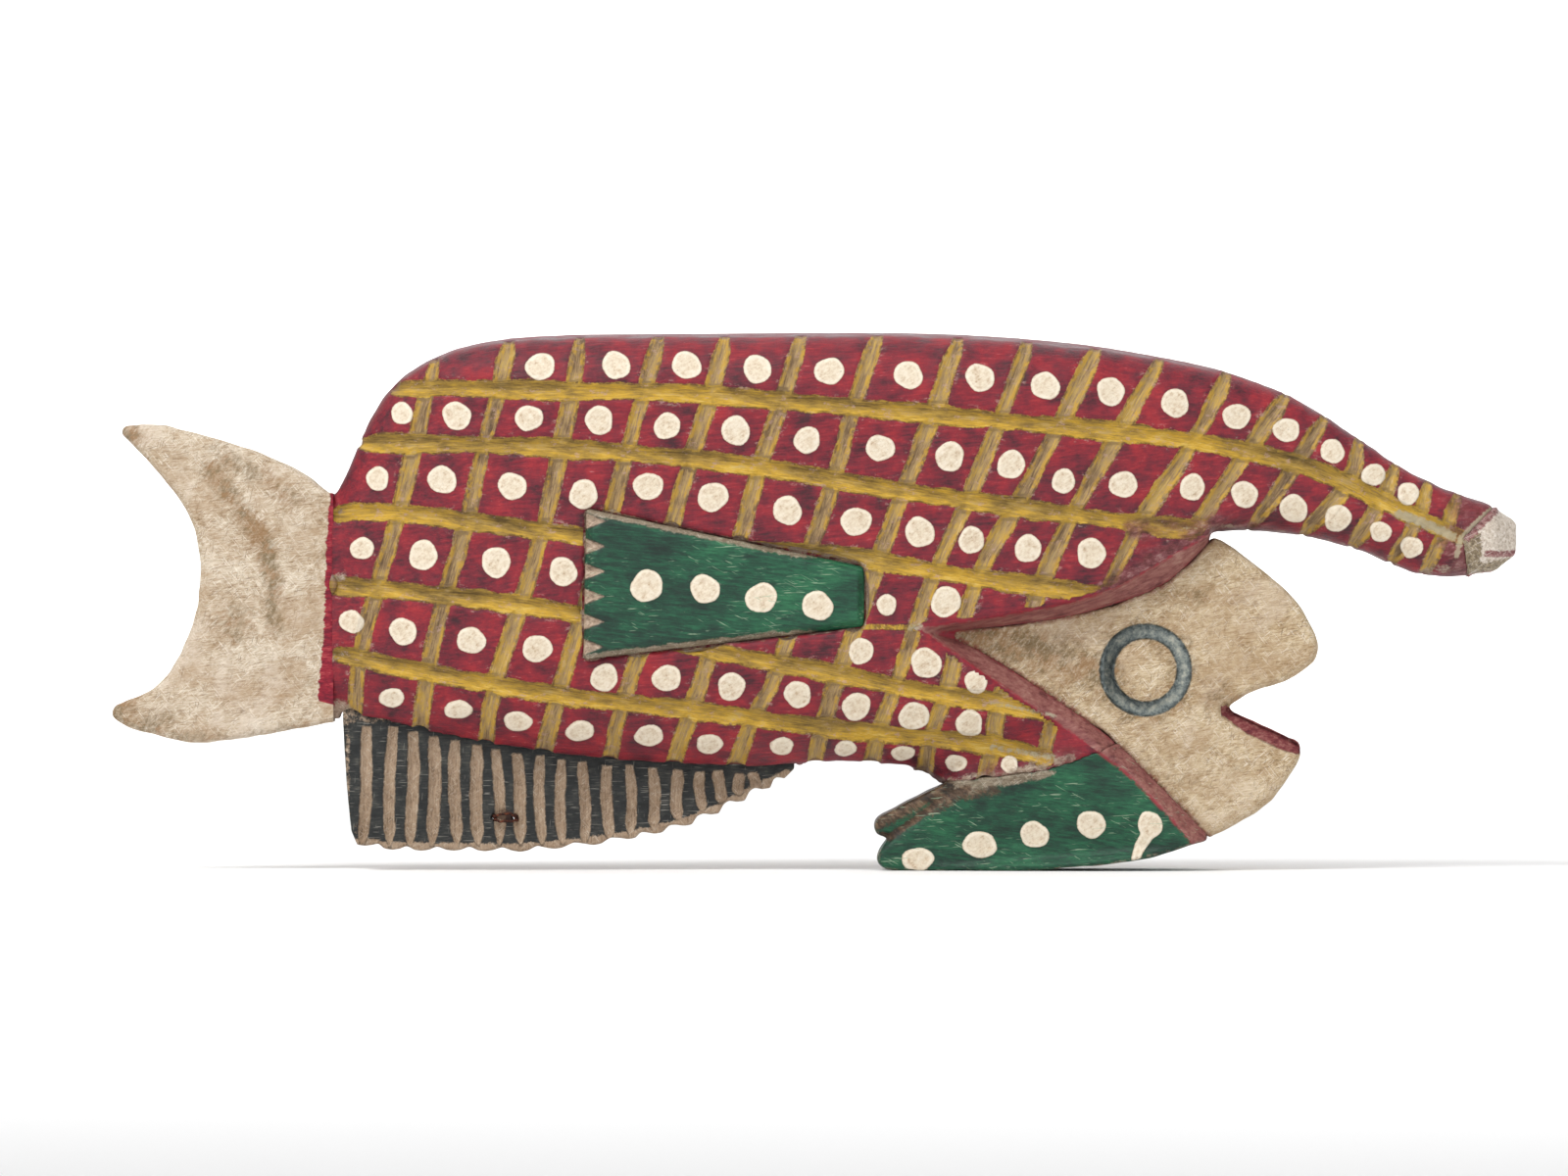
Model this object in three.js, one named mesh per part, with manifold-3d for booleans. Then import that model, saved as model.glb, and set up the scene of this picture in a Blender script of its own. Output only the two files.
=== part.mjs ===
// A carved wooden fish guiro, in millimetres. +X runs to the snout, +Z is up, Y is the thickness.
// Two hollowed body shells are glued on the mid-plane. The tail, the head and the ribbed rasp fin
// are boards with tongues that the shells close on, and blind dowels peg every joint.
// The origin is the centre of the footprint, on the plane that the two pelvic fins stand on.
import * as THREE from "three";
import { ConvexGeometry } from "three/addons/geometries/ConvexGeometry.js";
import { mergeVertices } from "three/addons/utils/BufferGeometryUtils.js";
import Module from "manifold-3d";

const wasm = await Module();
wasm.setup();

// ---- driving dimensions ----
const GLUE_GAP = 0.3; // between any two touching pieces
const SHELL_SEAM = GLUE_GAP / 2; // each shell stops this far from the mid-plane
const BACK_CROWN = 3.4; // exponents of the rounded edges: 2 is an ellipse, higher is squarer
const BELLY_CROWN = 2.2;
const HANDLE_CROWN = 2.6;
const WALL = 9; // of the hollowed shell round the sound chamber
const TONGUE = 7; // half thickness of every tongue and of the rasp fin
const TAIL_JOINT_X = -196;
const TAIL_ROOT_HALF = 12.5;
const TAIL_TIP_HALF = 5;
const TAIL_CHAMFER = 1.5;
const HEAD_CHAMFER = 1.8;
const PELVIC_CHAMFER = 1.2;
const PELVIC_PARTING_X = 74;
const PELVIC_PARTING_HALF = 5;
const BODY_COLUMNS = 46;
const BODY_ROWS = 14;
const DOWEL_SIDES = 12;
const BAND_DEPTH = 9; // how far the gill band drops from the flank to the cheek of the head
const SLOT_HALF_WIDTH = 7; // sound slot in the belly
const SLOT_FROM_X = -4;
const SLOT_TO_X = 40;
const RIB_COUNT = 19;
const FIRST_RIB_X = -183.4;
const RIB_PITCH = 8.81;
const RIB_WIDTH = 4.8;
const RIB_DEPTH = 1.9;
const EYE = new THREE.Vector2(134.8, 81.6);
const EYE_RING_RADIUS = 16;
const EYE_RING_GOUGE = 2.7;

// ---- outlines, as points in the X Z plane ----
const points2 = (...pairs) => pairs.map(([x, z]) => new THREE.Vector2(x, z));

// A smooth line through the points, with that many steps between each two.
const smooth = (points, steps = 3) =>
  new THREE.SplineCurve(points).getPoints(steps * (points.length - 1));

const BACK = points2(
  [-196, 152.2], [-188, 168], [-178.6, 189], [-169, 200.6], [-158, 208], [-140, 214.6],
  [-111, 218.2], [-52, 219.1], [42, 219.3], [100, 215.8], [138, 210.2], [167, 203.8],
  [196, 192.6], [215, 180.8], [244, 161.8], [268, 151.7], [280, 147.2], [286.6, 142],
);
const HANDLE_UNDERSIDE = points2(
  [161, 137.8], [186, 137.9], [205.4, 134.8], [224.6, 129.4], [244, 121], [253.4, 119.4],
  [266, 120], [280, 122.4], [286.6, 128.5],
);
const BELLY = points2(
  [-196, 60.5], [-174, 61.2], [-158, 59.4], [-133, 54.8], [-112, 50.6], [-87, 46.6],
  [-61, 44.2], [-25, 42], [3, 42.6], [20, 42.6], [42, 40.4], [54, 36.8], [92, 41], [113, 48], [161, 64],
);
const PELVIC_ROOT_X = 54; // in front of this the belly is glued to the pelvic fins

// Both edges of the gill band: the flank's own edge, and the foot of the bevel on the head.
const GILL_UPPER_EDGE = points2([41.8, 99], [79, 104.2], [116.4, 113], [148.6, 130.2], [162, 138.4]);
const GILL_UPPER_FOOT = points2([50, 96.6], [96, 101.8], [122.6, 108.4], [144.2, 117.4], [164, 136.8]);
const GILL_LOWER_EDGE = points2([154.8, 9.6], [141.4, 25], [121, 44.2], [75.2, 75.9], [41.8, 99]);
const GILL_LOWER_FOOT = points2([161.6, 13], [136.4, 39.2], [111, 61.6], [67, 90], [50, 96.6]);

const HEAD_FRONT = points2(
  [166, 134.6], [176.6, 127.4], [186.2, 119.4], [195.8, 110.4], [202.2, 100.6], [205.8, 91.4], [204.2, 85.4],
);
const UPPER_LIP = points2([204.2, 85.4], [195.8, 79], [186.2, 75.4], [176.6, 72.4], [168, 66]);
const LOWER_LIP = points2([168, 66], [176.6, 61.8], [197.4, 52.4]);
const CHIN = points2(
  [197.4, 52.4], [198.4, 47], [193.6, 38.4], [186.2, 29.4], [176.6, 21.4], [167, 15.8], [158, 12.2],
);
const HEAD_TONGUE = points2(
  [28, 110], [28, 82], [46, 70], [56, 50], [64, 30], [66, 14], [96, 7], [148, 14], [150, 60], [110, 104],
);

const TAIL_TOP = points2(
  [-196, 152.4], [-206, 159.6], [-225, 170.2], [-254, 178.4], [-270, 181.6], [-281.4, 181],
);
const TAIL_FORK = points2(
  [-282.8, 177.8], [-268.2, 163.2], [-256.2, 147], [-250.6, 129], [-250.2, 117], [-253.8, 99], [-263.4, 80],
  [-273, 71.6], [-285, 67.2],
);
const TAIL_BOTTOM = points2(
  [-286.6, 63], [-280, 58.2], [-268.2, 54.6], [-249, 51.8], [-216, 56.6], [-196, 60.6],
);

const PECTORAL = points2([-92.4, 147.2], [-93.6, 86], [20.4, 99.4], [20.4, 123.6]);
const PECTORAL_NOTCHES = 6;
const PECTORAL_NOTCH_LENGTH = 8.6;
const PECTORAL_FLOOR_Y = 30.5;
const PECTORAL_BEVEL = 3;
const PECTORAL_REAR_Y = 38;
const PECTORAL_ROOT_Y = 36.4;

const PELVIC = [
  ...smooth(points2([54.4, 36.2], [92, 40.6], [113, 47.6], [126, 52]), 2),
  ...points2([160, 40], [160, 12.4]),
  ...smooth(points2([154.8, 11], [138.2, 5.8], [119, 2.8], [100, 1], [82, 0]), 2),
  ...smooth(points2([32.6, 0], [28.4, 1], [26, 4], [26.8, 8], [30.6, 13.4]), 2),
  ...smooth(points2([30.2, 13.8], [26, 14.8], [24.4, 18], [26, 21.4], [31.4, 24.8], [51.4, 34.6]), 2),
];

// Crests of the scalloped lower edge of the rasp fin, and how deep the valleys between them are.
const SCALLOPS = points2(
  [-183, 9.8], [-172, 8.2], [-160, 7.8], [-147, 7.8], [-134, 7.6], [-120, 7.4], [-105.8, 8.6], [-90, 10.2],
  [-76, 12.6], [-65, 14.8], [-53, 18], [-42, 22.6], [-31.4, 27.8], [-21, 33], [-12, 37.4],
);
const SCALLOP_DEPTH = 1.9;
const SCALLOP_CREST_HALF = 3.2;

// The knob meets the handle on a chevron, shown here by the handle's side of it.
const KNOB_REGION = points2(
  [279.6, 160], [277.6, 147.6], [264.6, 135.4], [266.8, 119.4], [267, 105], [300, 105], [300, 160],
);

// ---- solids ----
function solidOf(geometry) {
  const bare = geometry.index ? geometry.toNonIndexed() : geometry.clone();
  bare.deleteAttribute("normal");
  bare.deleteAttribute("uv");
  const merged = mergeVertices(bare, 1e-3);
  const mesh = new wasm.Mesh({
    numProp: 3,
    vertProperties: new Float32Array(merged.attributes.position.array),
    triVerts: new Uint32Array(merged.index.array),
  });
  return new wasm.Manifold(mesh);
}

function geometryOf(solid) {
  const mesh = solid.getMesh();
  const indexed = new THREE.BufferGeometry();
  indexed.setAttribute("position", new THREE.BufferAttribute(mesh.vertProperties, mesh.numProp));
  indexed.setIndex(new THREE.BufferAttribute(mesh.triVerts, 1));
  const flat = indexed.toNonIndexed();
  flat.computeVertexNormals();
  return flat;
}

function fromTriangles(corners) {
  const geometry = new THREE.BufferGeometry();
  geometry.setAttribute("position", new THREE.Float32BufferAttribute(corners.flatMap((p) => p.toArray()), 3));
  return geometry;
}

// A solid between closed outlines of equal length. Each ring is {points, y}, where y is a number or a
// function of x, and the rings run from -Y to +Y.
function loft(rings) {
  const turn = THREE.ShapeUtils.isClockWise(rings[0].points);
  const levels = rings.map(({ points, y }) => {
    const ordered = turn ? [...points].reverse() : points;
    return ordered.map((p) => new THREE.Vector3(p.x, typeof y === "function" ? y(p.x) : y, p.y));
  });
  const flat = levels[0].map((p) => new THREE.Vector2(p.x, p.z));
  const corners = [];
  for (const [a, b, c] of THREE.ShapeUtils.triangulateShape(flat, [])) {
    corners.push(levels[0][a], levels[0][b], levels[0][c]);
  }
  const last = levels[levels.length - 1];
  const flatLast = last.map((p) => new THREE.Vector2(p.x, p.z));
  for (const [a, b, c] of THREE.ShapeUtils.triangulateShape(flatLast, [])) {
    corners.push(last[a], last[c], last[b]);
  }
  for (let k = 0; k + 1 < levels.length; k += 1) {
    const near = levels[k];
    const far = levels[k + 1];
    near.forEach((a, i) => {
      const j = (i + 1) % near.length;
      corners.push(a, far[i], near[j], near[j], far[i], far[j]);
    });
  }
  return solidOf(fromTriangles(corners));
}

const plate = (points, fromY, toY) => loft([{ points, y: fromY }, { points, y: toY }]);

// A board of varying thickness whose long edges are chamfered on both faces.
const softBoard = (outline, halfAt, chamfer) => loft([
  { points: grown(outline, -chamfer), y: (x) => -halfAt(x) },
  { points: outline, y: (x) => chamfer - halfAt(x) },
  { points: outline, y: (x) => halfAt(x) - chamfer },
  { points: grown(outline, -chamfer), y: halfAt },
]);

// The outline moved outwards by a distance, or inwards when it is negative.
function grown(points, distance) {
  const sign = THREE.ShapeUtils.isClockWise(points) ? -1 : 1;
  return points.map((p, i) => {
    const before = points[(i + points.length - 1) % points.length];
    const after = points[(i + 1) % points.length];
    const sides = [p.clone().sub(before), after.clone().sub(p)];
    const normals = sides.map((e) => new THREE.Vector2(e.y, -e.x).normalize());
    const middle = normals[0].clone().add(normals[1]).normalize();
    const reach = distance / Math.max(middle.dot(normals[0]), 0.5);
    return p.clone().addScaledVector(middle, sign * reach);
  });
}

// A round bar along Y, or along X when lying is true.
function bar(radius, x, z, from, to, lying = false) {
  const geometry = new THREE.CylinderGeometry(radius, radius, to - from, DOWEL_SIDES);
  if (lying) {
    geometry.rotateZ(Math.PI / 2);
    geometry.translate((from + to) / 2, 0, z);
  } else {
    geometry.translate(x, (from + to) / 2, z);
  }
  return solidOf(geometry);
}

// The same piece for the other side of the fish.
function mirrored(geometry) {
  const other = geometry.clone().scale(1, -1, 1);
  const place = other.attributes.position;
  const corner = new THREE.Vector3();
  const swap = new THREE.Vector3();
  for (let i = 0; i < place.count; i += 3) {
    corner.fromBufferAttribute(place, i + 1);
    swap.fromBufferAttribute(place, i + 2);
    place.setXYZ(i + 1, swap.x, swap.y, swap.z);
    place.setXYZ(i + 2, corner.x, corner.y, corner.z);
  }
  other.computeVertexNormals();
  return other;
}

// ---- the body's form ----
// Height of a smooth line at x.
function lineAt(points) {
  const line = smooth(points, 12);
  return (x) => {
    const k = Math.min(Math.max(line.findIndex((p) => p.x >= x), 1), line.length - 1);
    const [a, b] = [line[k - 1], line[k]];
    return THREE.MathUtils.lerp(a.y, b.y, THREE.MathUtils.clamp((x - a.x) / (b.x - a.x || 1), 0, 1));
  };
}

const backAt = lineAt(BACK);
const bellyAt = lineAt(BELLY);
const undersideAt = lineAt(HANDLE_UNDERSIDE);
const halfThicknessAt = lineAt(points2(
  [-196, 14], [-170, 20], [-135, 28.5], [-95, 33.5], [-30, 36], [50, 36], [105, 33.5], [150, 27.5],
  [190, 21.5], [235, 17.5], [262, 16], [276, 14.5], [282, 11], [286.6, 6],
));
const backRoundingAt = lineAt(
  points2([-196, 26], [-150, 34], [-100, 40], [100, 38], [160, 26], [235, 17], [286, 14]),
);
const bellyRoundingAt = lineAt(points2([-196, 30], [-150, 44], [-100, 50], [40, 48], [160, 40]));
const undersideRoundingAt = lineAt(points2([154, 0.5], [161, 3], [180, 16], [200, 21], [240, 17], [286, 14]));
const headHalfAt = (x) => THREE.MathUtils.mapLinear(x, 45, 206, 27, 14);
const pelvicHalfAt = lineAt(points2([20, 16], [54, 20], [92, 26], [125, 28.5], [161, 25.5]));
const tailHalfAt = (x) => THREE.MathUtils.mapLinear(x, -286, TAIL_JOINT_X, TAIL_TIP_HALF, TAIL_ROOT_HALF);
const pectoralFaceAt = (x) => THREE.MathUtils.mapLinear(x, -93, 20, PECTORAL_REAR_Y, PECTORAL_ROOT_Y);

const FREE_EDGES = [
  { edge: smooth(BACK), crown: BACK_CROWN, roundingAt: backRoundingAt },
  { edge: smooth(BELLY), crown: BELLY_CROWN, roundingAt: bellyRoundingAt },
  { edge: smooth(HANDLE_UNDERSIDE), crown: HANDLE_CROWN, roundingAt: undersideRoundingAt },
];

function distanceToLine(line, x, z) {
  const p = new THREE.Vector3(x, z, 0);
  const flat = line.map((q) => new THREE.Vector3(q.x, q.y, 0));
  const reaches = flat.slice(1).map((end, i) => {
    const nearest = new THREE.Line3(flat[i], end).closestPointToPoint(p, true, new THREE.Vector3());
    return nearest.distanceTo(p);
  });
  return Math.min(...reaches);
}

// Half thickness of the body at a place on its side view: full in the middle, rounded to its free edges,
// but never thinner than the pelvic fins where those are glued on.
function bodyHalfAt(x, z) {
  const shares = FREE_EDGES.map(({ edge, crown, roundingAt }) => {
    const inward = Math.min(distanceToLine(edge, x, z) / roundingAt(x), 1);
    return (1 - (1 - inward) ** crown) ** (1 / crown);
  });
  const widened = THREE.MathUtils.smoothstep(x, PELVIC_ROOT_X - 6, PELVIC_ROOT_X + 6);
  const root = z < 80 ? pelvicHalfAt(x) * widened : 0;
  return Math.max(halfThicknessAt(x) * shares.reduce((a, b) => a * b), root);
}

// Half of the body, from near the mid-plane out to -Y, between two lines over x.
function halfBody({ stations, bottomAt, topAt, rows, thin = 0, seam = SHELL_SEAM }) {
  const section = stations.map((x) => {
    const [low, high] = [bottomAt(x), topAt(x)];
    return Array.from({ length: rows + 1 }, (_, j) => {
      const z = THREE.MathUtils.lerp(low, high, (1 - Math.cos((Math.PI * j) / rows)) / 2);
      const inside = j > 0 && j < rows;
      const y = inside ? Math.max(bodyHalfAt(x, z) - thin, seam + 0.2) : seam;
      return new THREE.Vector3(x, -y, z);
    });
  });
  const corners = [];
  for (let i = 0; i + 1 < section.length; i += 1) {
    const [a, b] = [section[i], section[i + 1]];
    for (let j = 0; j < rows; j += 1) {
      corners.push(a[j], b[j], a[j + 1], a[j + 1], b[j], b[j + 1]);
    }
    corners.push(a[0], a[rows], b[0], b[0], a[rows], b[rows]);
  }
  const [first, last] = [section[0], section[section.length - 1]];
  for (let j = 1; j < rows; j += 1) {
    corners.push(first[0], first[j], first[j + 1]);
    corners.push(last[0], last[j + 1], last[j]);
  }
  return solidOf(fromTriangles(corners));
}

// Stations along the body, closer together where the back line is steep.
function stationsAlong(line, count, fromX, toX) {
  const spaced = new THREE.SplineCurve(line).getSpacedPoints(count).map((p) => p.x);
  return [fromX, ...spaced.filter((x) => x > fromX + 1 && x < toX - 1), toX];
}

// The body reaches down past its belly where the pelvic fins are fitted, and is cut back to them.
const HANDLE_ROOT_X = 161;
const fittedBellyAt = (x) => bellyAt(x) - 8 * THREE.MathUtils.smoothstep(x, PELVIC_ROOT_X, PELVIC_ROOT_X + 8);
const bodyStations = stationsAlong(BACK, BODY_COLUMNS, TAIL_JOINT_X, 286.6);
bodyStations.push(HANDLE_ROOT_X, HANDLE_ROOT_X + 0.05);
bodyStations.sort((a, b) => a - b);
const BODY = {
  stations: bodyStations,
  bottomAt: (x) => (x <= HANDLE_ROOT_X ? fittedBellyAt(x) : undersideAt(x)),
  topAt: backAt,
  rows: BODY_ROWS,
};

// ---- cutters ----
function gillCutter() {
  const open = points2([168, 137], [168, 5]);
  const edge = [...smooth(GILL_UPPER_EDGE, 3), ...open, ...smooth(GILL_LOWER_EDGE, 3).slice(0, -1)];
  const foot = [...smooth(GILL_UPPER_FOOT, 3), ...open, ...smooth(GILL_LOWER_FOOT, 3).slice(0, -1)];
  return loft([
    { points: edge, y: -70 },
    { points: edge, y: (x) => -headHalfAt(x) - BAND_DEPTH },
    { points: foot, y: (x) => -headHalfAt(x) + GLUE_GAP },
    { points: foot, y: 1 },
  ]);
}

function soundChamber() {
  const room = smooth(points2(
    [-142, 100], [-138, 160], [-108, 188], [-40, 196], [30, 194], [62, 168], [50, 134], [12, 120], [10, 90],
    [2, 68], [-40, 62], [-100, 70], [-142, 100],
  ), 3).slice(0, -1);
  const stations = stationsAlong(BACK, 26, -146, 70);
  const hollow = halfBody({ stations, bottomAt: bellyAt, topAt: backAt, rows: 8, thin: WALL });
  const throat = points2([SLOT_FROM_X, 20], [SLOT_TO_X, 20], [SLOT_TO_X, 50], [6, 76], [SLOT_FROM_X, 76]);
  const slot = plate(throat, -SLOT_HALF_WIDTH, 1);
  return hollow.intersect(plate(room, -60, 0)).add(plate(room, -2, 1)).add(slot);
}

const TAIL_TONGUE = points2([-200, 132], [-200, 82], [-166, 82], [-166, 132]);
const tailTongue = (gap) => plate(grown(TAIL_TONGUE, gap), -TONGUE - gap, TONGUE + gap);
const headTongue = (gap) => plate(grown(HEAD_TONGUE, gap), -TONGUE - gap, TONGUE + gap);

// Dowels: [name, radius, x, z, half length]. Each is pegged through the mid-plane and blind at both ends.
const DOWELS = [
  ["flank_dowel_1", 4, -157, 168, 16],
  ["flank_dowel_2", 4, -154, 84, 16],
  ["flank_dowel_3", 4, -40, 207, 18],
  ["flank_dowel_4", 4, 84, 202, 18],
  ["flank_dowel_5", 4, 96, 140, 22],
  ["flank_dowel_6", 4, 192, 164, 14],
  ["flank_dowel_7", 4, 240, 143, 11],
  ["tail_dowel_1", 3, -181, 120, 11],
  ["tail_dowel_2", 3, -181, 94, 11],
  ["head_dowel_1", 4, 42, 90, 22],
  ["head_dowel_2", 4, 78, 58, 20],
  ["rasp_dowel_1", 2.5, -150, 65, 11],
  ["rasp_dowel_2", 2.5, -50, 50, 12],
  ["pelvic_dowel_1", 3, 82, 20, 15],
  ["pelvic_dowel_2", 3, 120, 22, 16],
];
const KNOB_DOWEL = { radius: 4, z: 133.5, from: 248, to: 276 };

function dowelHoles() {
  const holes = DOWELS.map(([, radius, x, z, half]) => {
    const reach = half + GLUE_GAP;
    return bar(radius + GLUE_GAP, x, z, -reach, reach);
  });
  return holes.reduce((all, hole) => all.add(hole)).add(knobDowel(GLUE_GAP));
}

function knobDowel(gap) {
  const { radius, z, from, to } = KNOB_DOWEL;
  return bar(radius + gap, 0, z, from - gap, to + gap, true);
}

// ---- pieces ----
function raspFinBlank(gap) {
  const crests = SCALLOPS.flatMap((p, i) => {
    const next = SCALLOPS[i + 1];
    const shoulder = (side) => new THREE.Vector2(p.x + side * SCALLOP_CREST_HALF, p.y + 0.5);
    if (!next) return [shoulder(-1), p];
    const valley = new THREE.Vector2((p.x + next.x) / 2, (p.y + next.y) / 2 + SCALLOP_DEPTH);
    return [shoulder(-1), p, shoulder(1), valley];
  });
  const rear = smooth(points2([-192, 60], [-190.4, 34], [-188.6, 16]), 2);
  const roots = Array.from({ length: 12 }, (_, i) => {
    const x = THREE.MathUtils.lerp(-8, -192, i / 11);
    return new THREE.Vector2(x, bellyAt(x) + 12);
  });
  const outline = [...rear, ...crests, new THREE.Vector2(-8, 41.4), ...roots];
  return plate(gap ? grown(outline, gap) : outline, -TONGUE - gap, TONGUE + gap);
}

// One gouged flute in each face of the rasp fin, leaning a little as a hand-held gouge does.
function raspFlutes() {
  const flutes = [];
  for (let i = 0; i < RIB_COUNT; i += 1) {
    const x = FIRST_RIB_X + RIB_PITCH * i;
    const lean = 2.2 - 4.4 * Math.min(i / 7, 1) + (i > 7 ? 1.6 : 0);
    const top = bellyAt(x) - 2.5;
    const radius = (RIB_WIDTH ** 2 / 4 + RIB_DEPTH ** 2) / (2 * RIB_DEPTH);
    for (const side of [-1, 1]) {
      const gouge = new THREE.CylinderGeometry(radius, radius, top + 10, 12);
      gouge.rotateX(Math.PI / 2);
      gouge.applyMatrix4(new THREE.Matrix4().makeShear(0, 0, 0, 0, -lean / (top + 10), 0));
      gouge.translate(x, side * (TONGUE + radius - RIB_DEPTH), (top - 10) / 2);
      flutes.push(solidOf(gouge));
    }
  }
  return flutes.reduce((all, flute) => all.add(flute));
}

function pectoralFin(gap) {
  const outline = grown(PECTORAL, gap);
  if (gap) return plate(outline, -60, -PECTORAL_FLOOR_Y + gap);
  const fin = loft([
    { points: grown(PECTORAL, -PECTORAL_BEVEL), y: (x) => -pectoralFaceAt(x) },
    { points: outline, y: (x) => PECTORAL_BEVEL - pectoralFaceAt(x) },
    { points: outline, y: -PECTORAL_FLOOR_Y },
  ]);
  return pectoralNotches().reduce((left, notch) => left.subtract(notch), fin);
}

// Chip-carved teeth across the rear end: each notch is deepest at the end and runs out to a point.
function pectoralNotches() {
  const [top, bottom] = PECTORAL;
  const face = -PECTORAL_REAR_Y;
  const deep = PECTORAL_REAR_Y - PECTORAL_FLOOR_Y - 2;
  return Array.from({ length: PECTORAL_NOTCHES }, (_, i) => {
    const placeAt = (share) => top.clone().lerp(bottom, (i + share) / PECTORAL_NOTCHES);
    const [from, middle, to] = [0.08, 0.5, 0.92].map(placeAt);
    const chip = [new THREE.Vector3(middle.x + PECTORAL_NOTCH_LENGTH, face, middle.y)];
    chip.push(new THREE.Vector3(middle.x - 2, face + deep, middle.y));
    for (const p of [from, to]) {
      chip.push(new THREE.Vector3(p.x - 2, face + deep - 3, p.y), new THREE.Vector3(p.x - 2, face - 4, p.y));
    }
    chip.push(new THREE.Vector3(middle.x + PECTORAL_NOTCH_LENGTH, face - 4, middle.y));
    return solidOf(new ConvexGeometry(chip));
  });
}

function wireStaple() {
  const [left, right, z, back] = [-130.2, -121.8, 21.4, TONGUE + 0.8];
  const crown = -TONGUE - 1.2;
  const route = new THREE.CatmullRomCurve3([
    new THREE.Vector3(left, back, z), new THREE.Vector3(left, 0, z), new THREE.Vector3(left, crown + 2.4, z),
    new THREE.Vector3(left + 0.9, crown + 0.3, z - 0.2), new THREE.Vector3(left + 2.6, crown, z - 0.6),
    new THREE.Vector3(right - 2.6, crown, z - 0.5), new THREE.Vector3(right - 0.9, crown + 0.3, z),
    new THREE.Vector3(right, crown + 2.4, z),
    new THREE.Vector3(right, 0, z),
    new THREE.Vector3(right, back, z),
  ], false, "centripetal");
  const section = new THREE.Shape().absarc(0, 0, 0.75, 0, 2 * Math.PI);
  return new THREE.ExtrudeGeometry(section, { steps: 30, extrudePath: route, curveSegments: 4 });
}

function stapleHoles() {
  return bar(1.3, -130.2, 21.4, -20, 20).add(bar(1.3, -121.8, 21.4, -20, 20));
}

function eyeRings() {
  const ring = (side) => {
    const torus = new THREE.TorusGeometry(EYE_RING_RADIUS, EYE_RING_GOUGE, 8, 32);
    torus.rotateX(Math.PI / 2);
    const slope = Math.atan2(headHalfAt(0) - headHalfAt(1), 1);
    torus.rotateZ(side * slope);
    torus.translate(EYE.x, side * headHalfAt(EYE.x), EYE.y);
    return solidOf(torus);
  };
  return ring(-1).add(ring(1));
}

const holes = dowelHoles();
const gill = gillCutter();

function bodyShell() {
  return halfBody(BODY)
    .subtract(gill)
    .subtract(plate(grown(PELVIC, GLUE_GAP), -60, 1))
    .subtract(plate(KNOB_REGION, -40, 1))
    .subtract(soundChamber())
    .subtract(tailTongue(GLUE_GAP))
    .subtract(headTongue(GLUE_GAP))
    .subtract(raspFinBlank(GLUE_GAP))
    .subtract(pectoralFin(GLUE_GAP))
    .subtract(holes);
}

function tail() {
  const outline = [TAIL_TOP, TAIL_FORK, TAIL_BOTTOM].flatMap((line) => smooth(line, 2));
  const face = [...points2([-180, 152.4]), ...outline, ...points2([-180, 60.6])];
  const board = softBoard(face, tailHalfAt, TAIL_CHAMFER);
  const end = TAIL_JOINT_X - GLUE_GAP;
  const behind = plate(points2([-300, 40], [end, 40], [end, 200], [-300, 200]), -30, 30);
  const blade = board.intersect(behind);
  return blade.add(tailTongue(0)).subtract(holes);
}

function head() {
  const face = [
    ...points2([40, 104], [150, 140]), ...smooth(HEAD_FRONT, 2), ...smooth(UPPER_LIP, 2).slice(1),
    ...smooth(LOWER_LIP, 2).slice(1), ...smooth(CHIN, 2).slice(1), ...points2([150, 8], [40, 90]),
  ];
  const ahead = points2([230, 138.4], [230, 5]);
  const foot = [...smooth(GILL_UPPER_FOOT), ...ahead, ...smooth(GILL_LOWER_FOOT).slice(0, -1)];
  const bed = plate(grown(foot, -2 * GLUE_GAP), -40, 40);
  const block = softBoard(face, headHalfAt, HEAD_CHAMFER).intersect(bed);
  return block.add(headTongue(0)).subtract(eyeRings()).subtract(holes);
}

// One of the pair. Behind the head's tongue the two stand apart.
function pelvicFin() {
  const blade = loft([
    { points: grown(PELVIC, -PELVIC_CHAMFER), y: (x) => -pelvicHalfAt(x) },
    { points: PELVIC, y: (x) => 1.5 * PELVIC_CHAMFER - pelvicHalfAt(x) },
    { points: PELVIC, y: -SHELL_SEAM },
  ]);
  const apart = points2([10, -5], [PELVIC_PARTING_X, -5], [PELVIC_PARTING_X, 60], [10, 60]);
  const parting = plate(apart, -PELVIC_PARTING_HALF, 1);
  return blade.subtract(parting).subtract(gill).subtract(headTongue(GLUE_GAP)).subtract(holes);
}

function handleKnob() {
  const right = halfBody({ ...BODY, seam: 0 }).intersect(plate(grown(KNOB_REGION, -GLUE_GAP), -40, 0));
  return right.add(solidOf(mirrored(geometryOf(right)))).subtract(holes);
}

// ---- assembly ----
const PAINT = {
  scales: { color: 0x8e2436, roughness: 0.62 },
  bare_wood: { color: 0xcab89d, roughness: 0.72 },
  rasp: { color: 0x45443f, roughness: 0.7 },
  fin_green: { color: 0x1f5f45, roughness: 0.6 },
  white: { color: 0xd6cbbc, roughness: 0.6 },
  dowel: { color: 0xb08a5c, roughness: 0.8 },
  iron: { color: 0x5a3120, roughness: 0.85, metalness: 0.4 },
};
const guiro = new THREE.Group();

function addPiece(name, paint, geometry) {
  const mesh = new THREE.Mesh(geometry, new THREE.MeshStandardMaterial({ metalness: 0, ...PAINT[paint] }));
  mesh.name = name;
  guiro.add(mesh);
}

function addPair(name, paint, solid) {
  const right = geometryOf(solid);
  addPiece(`${name}_right`, paint, right);
  addPiece(`${name}_left`, paint, mirrored(right));
}

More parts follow.
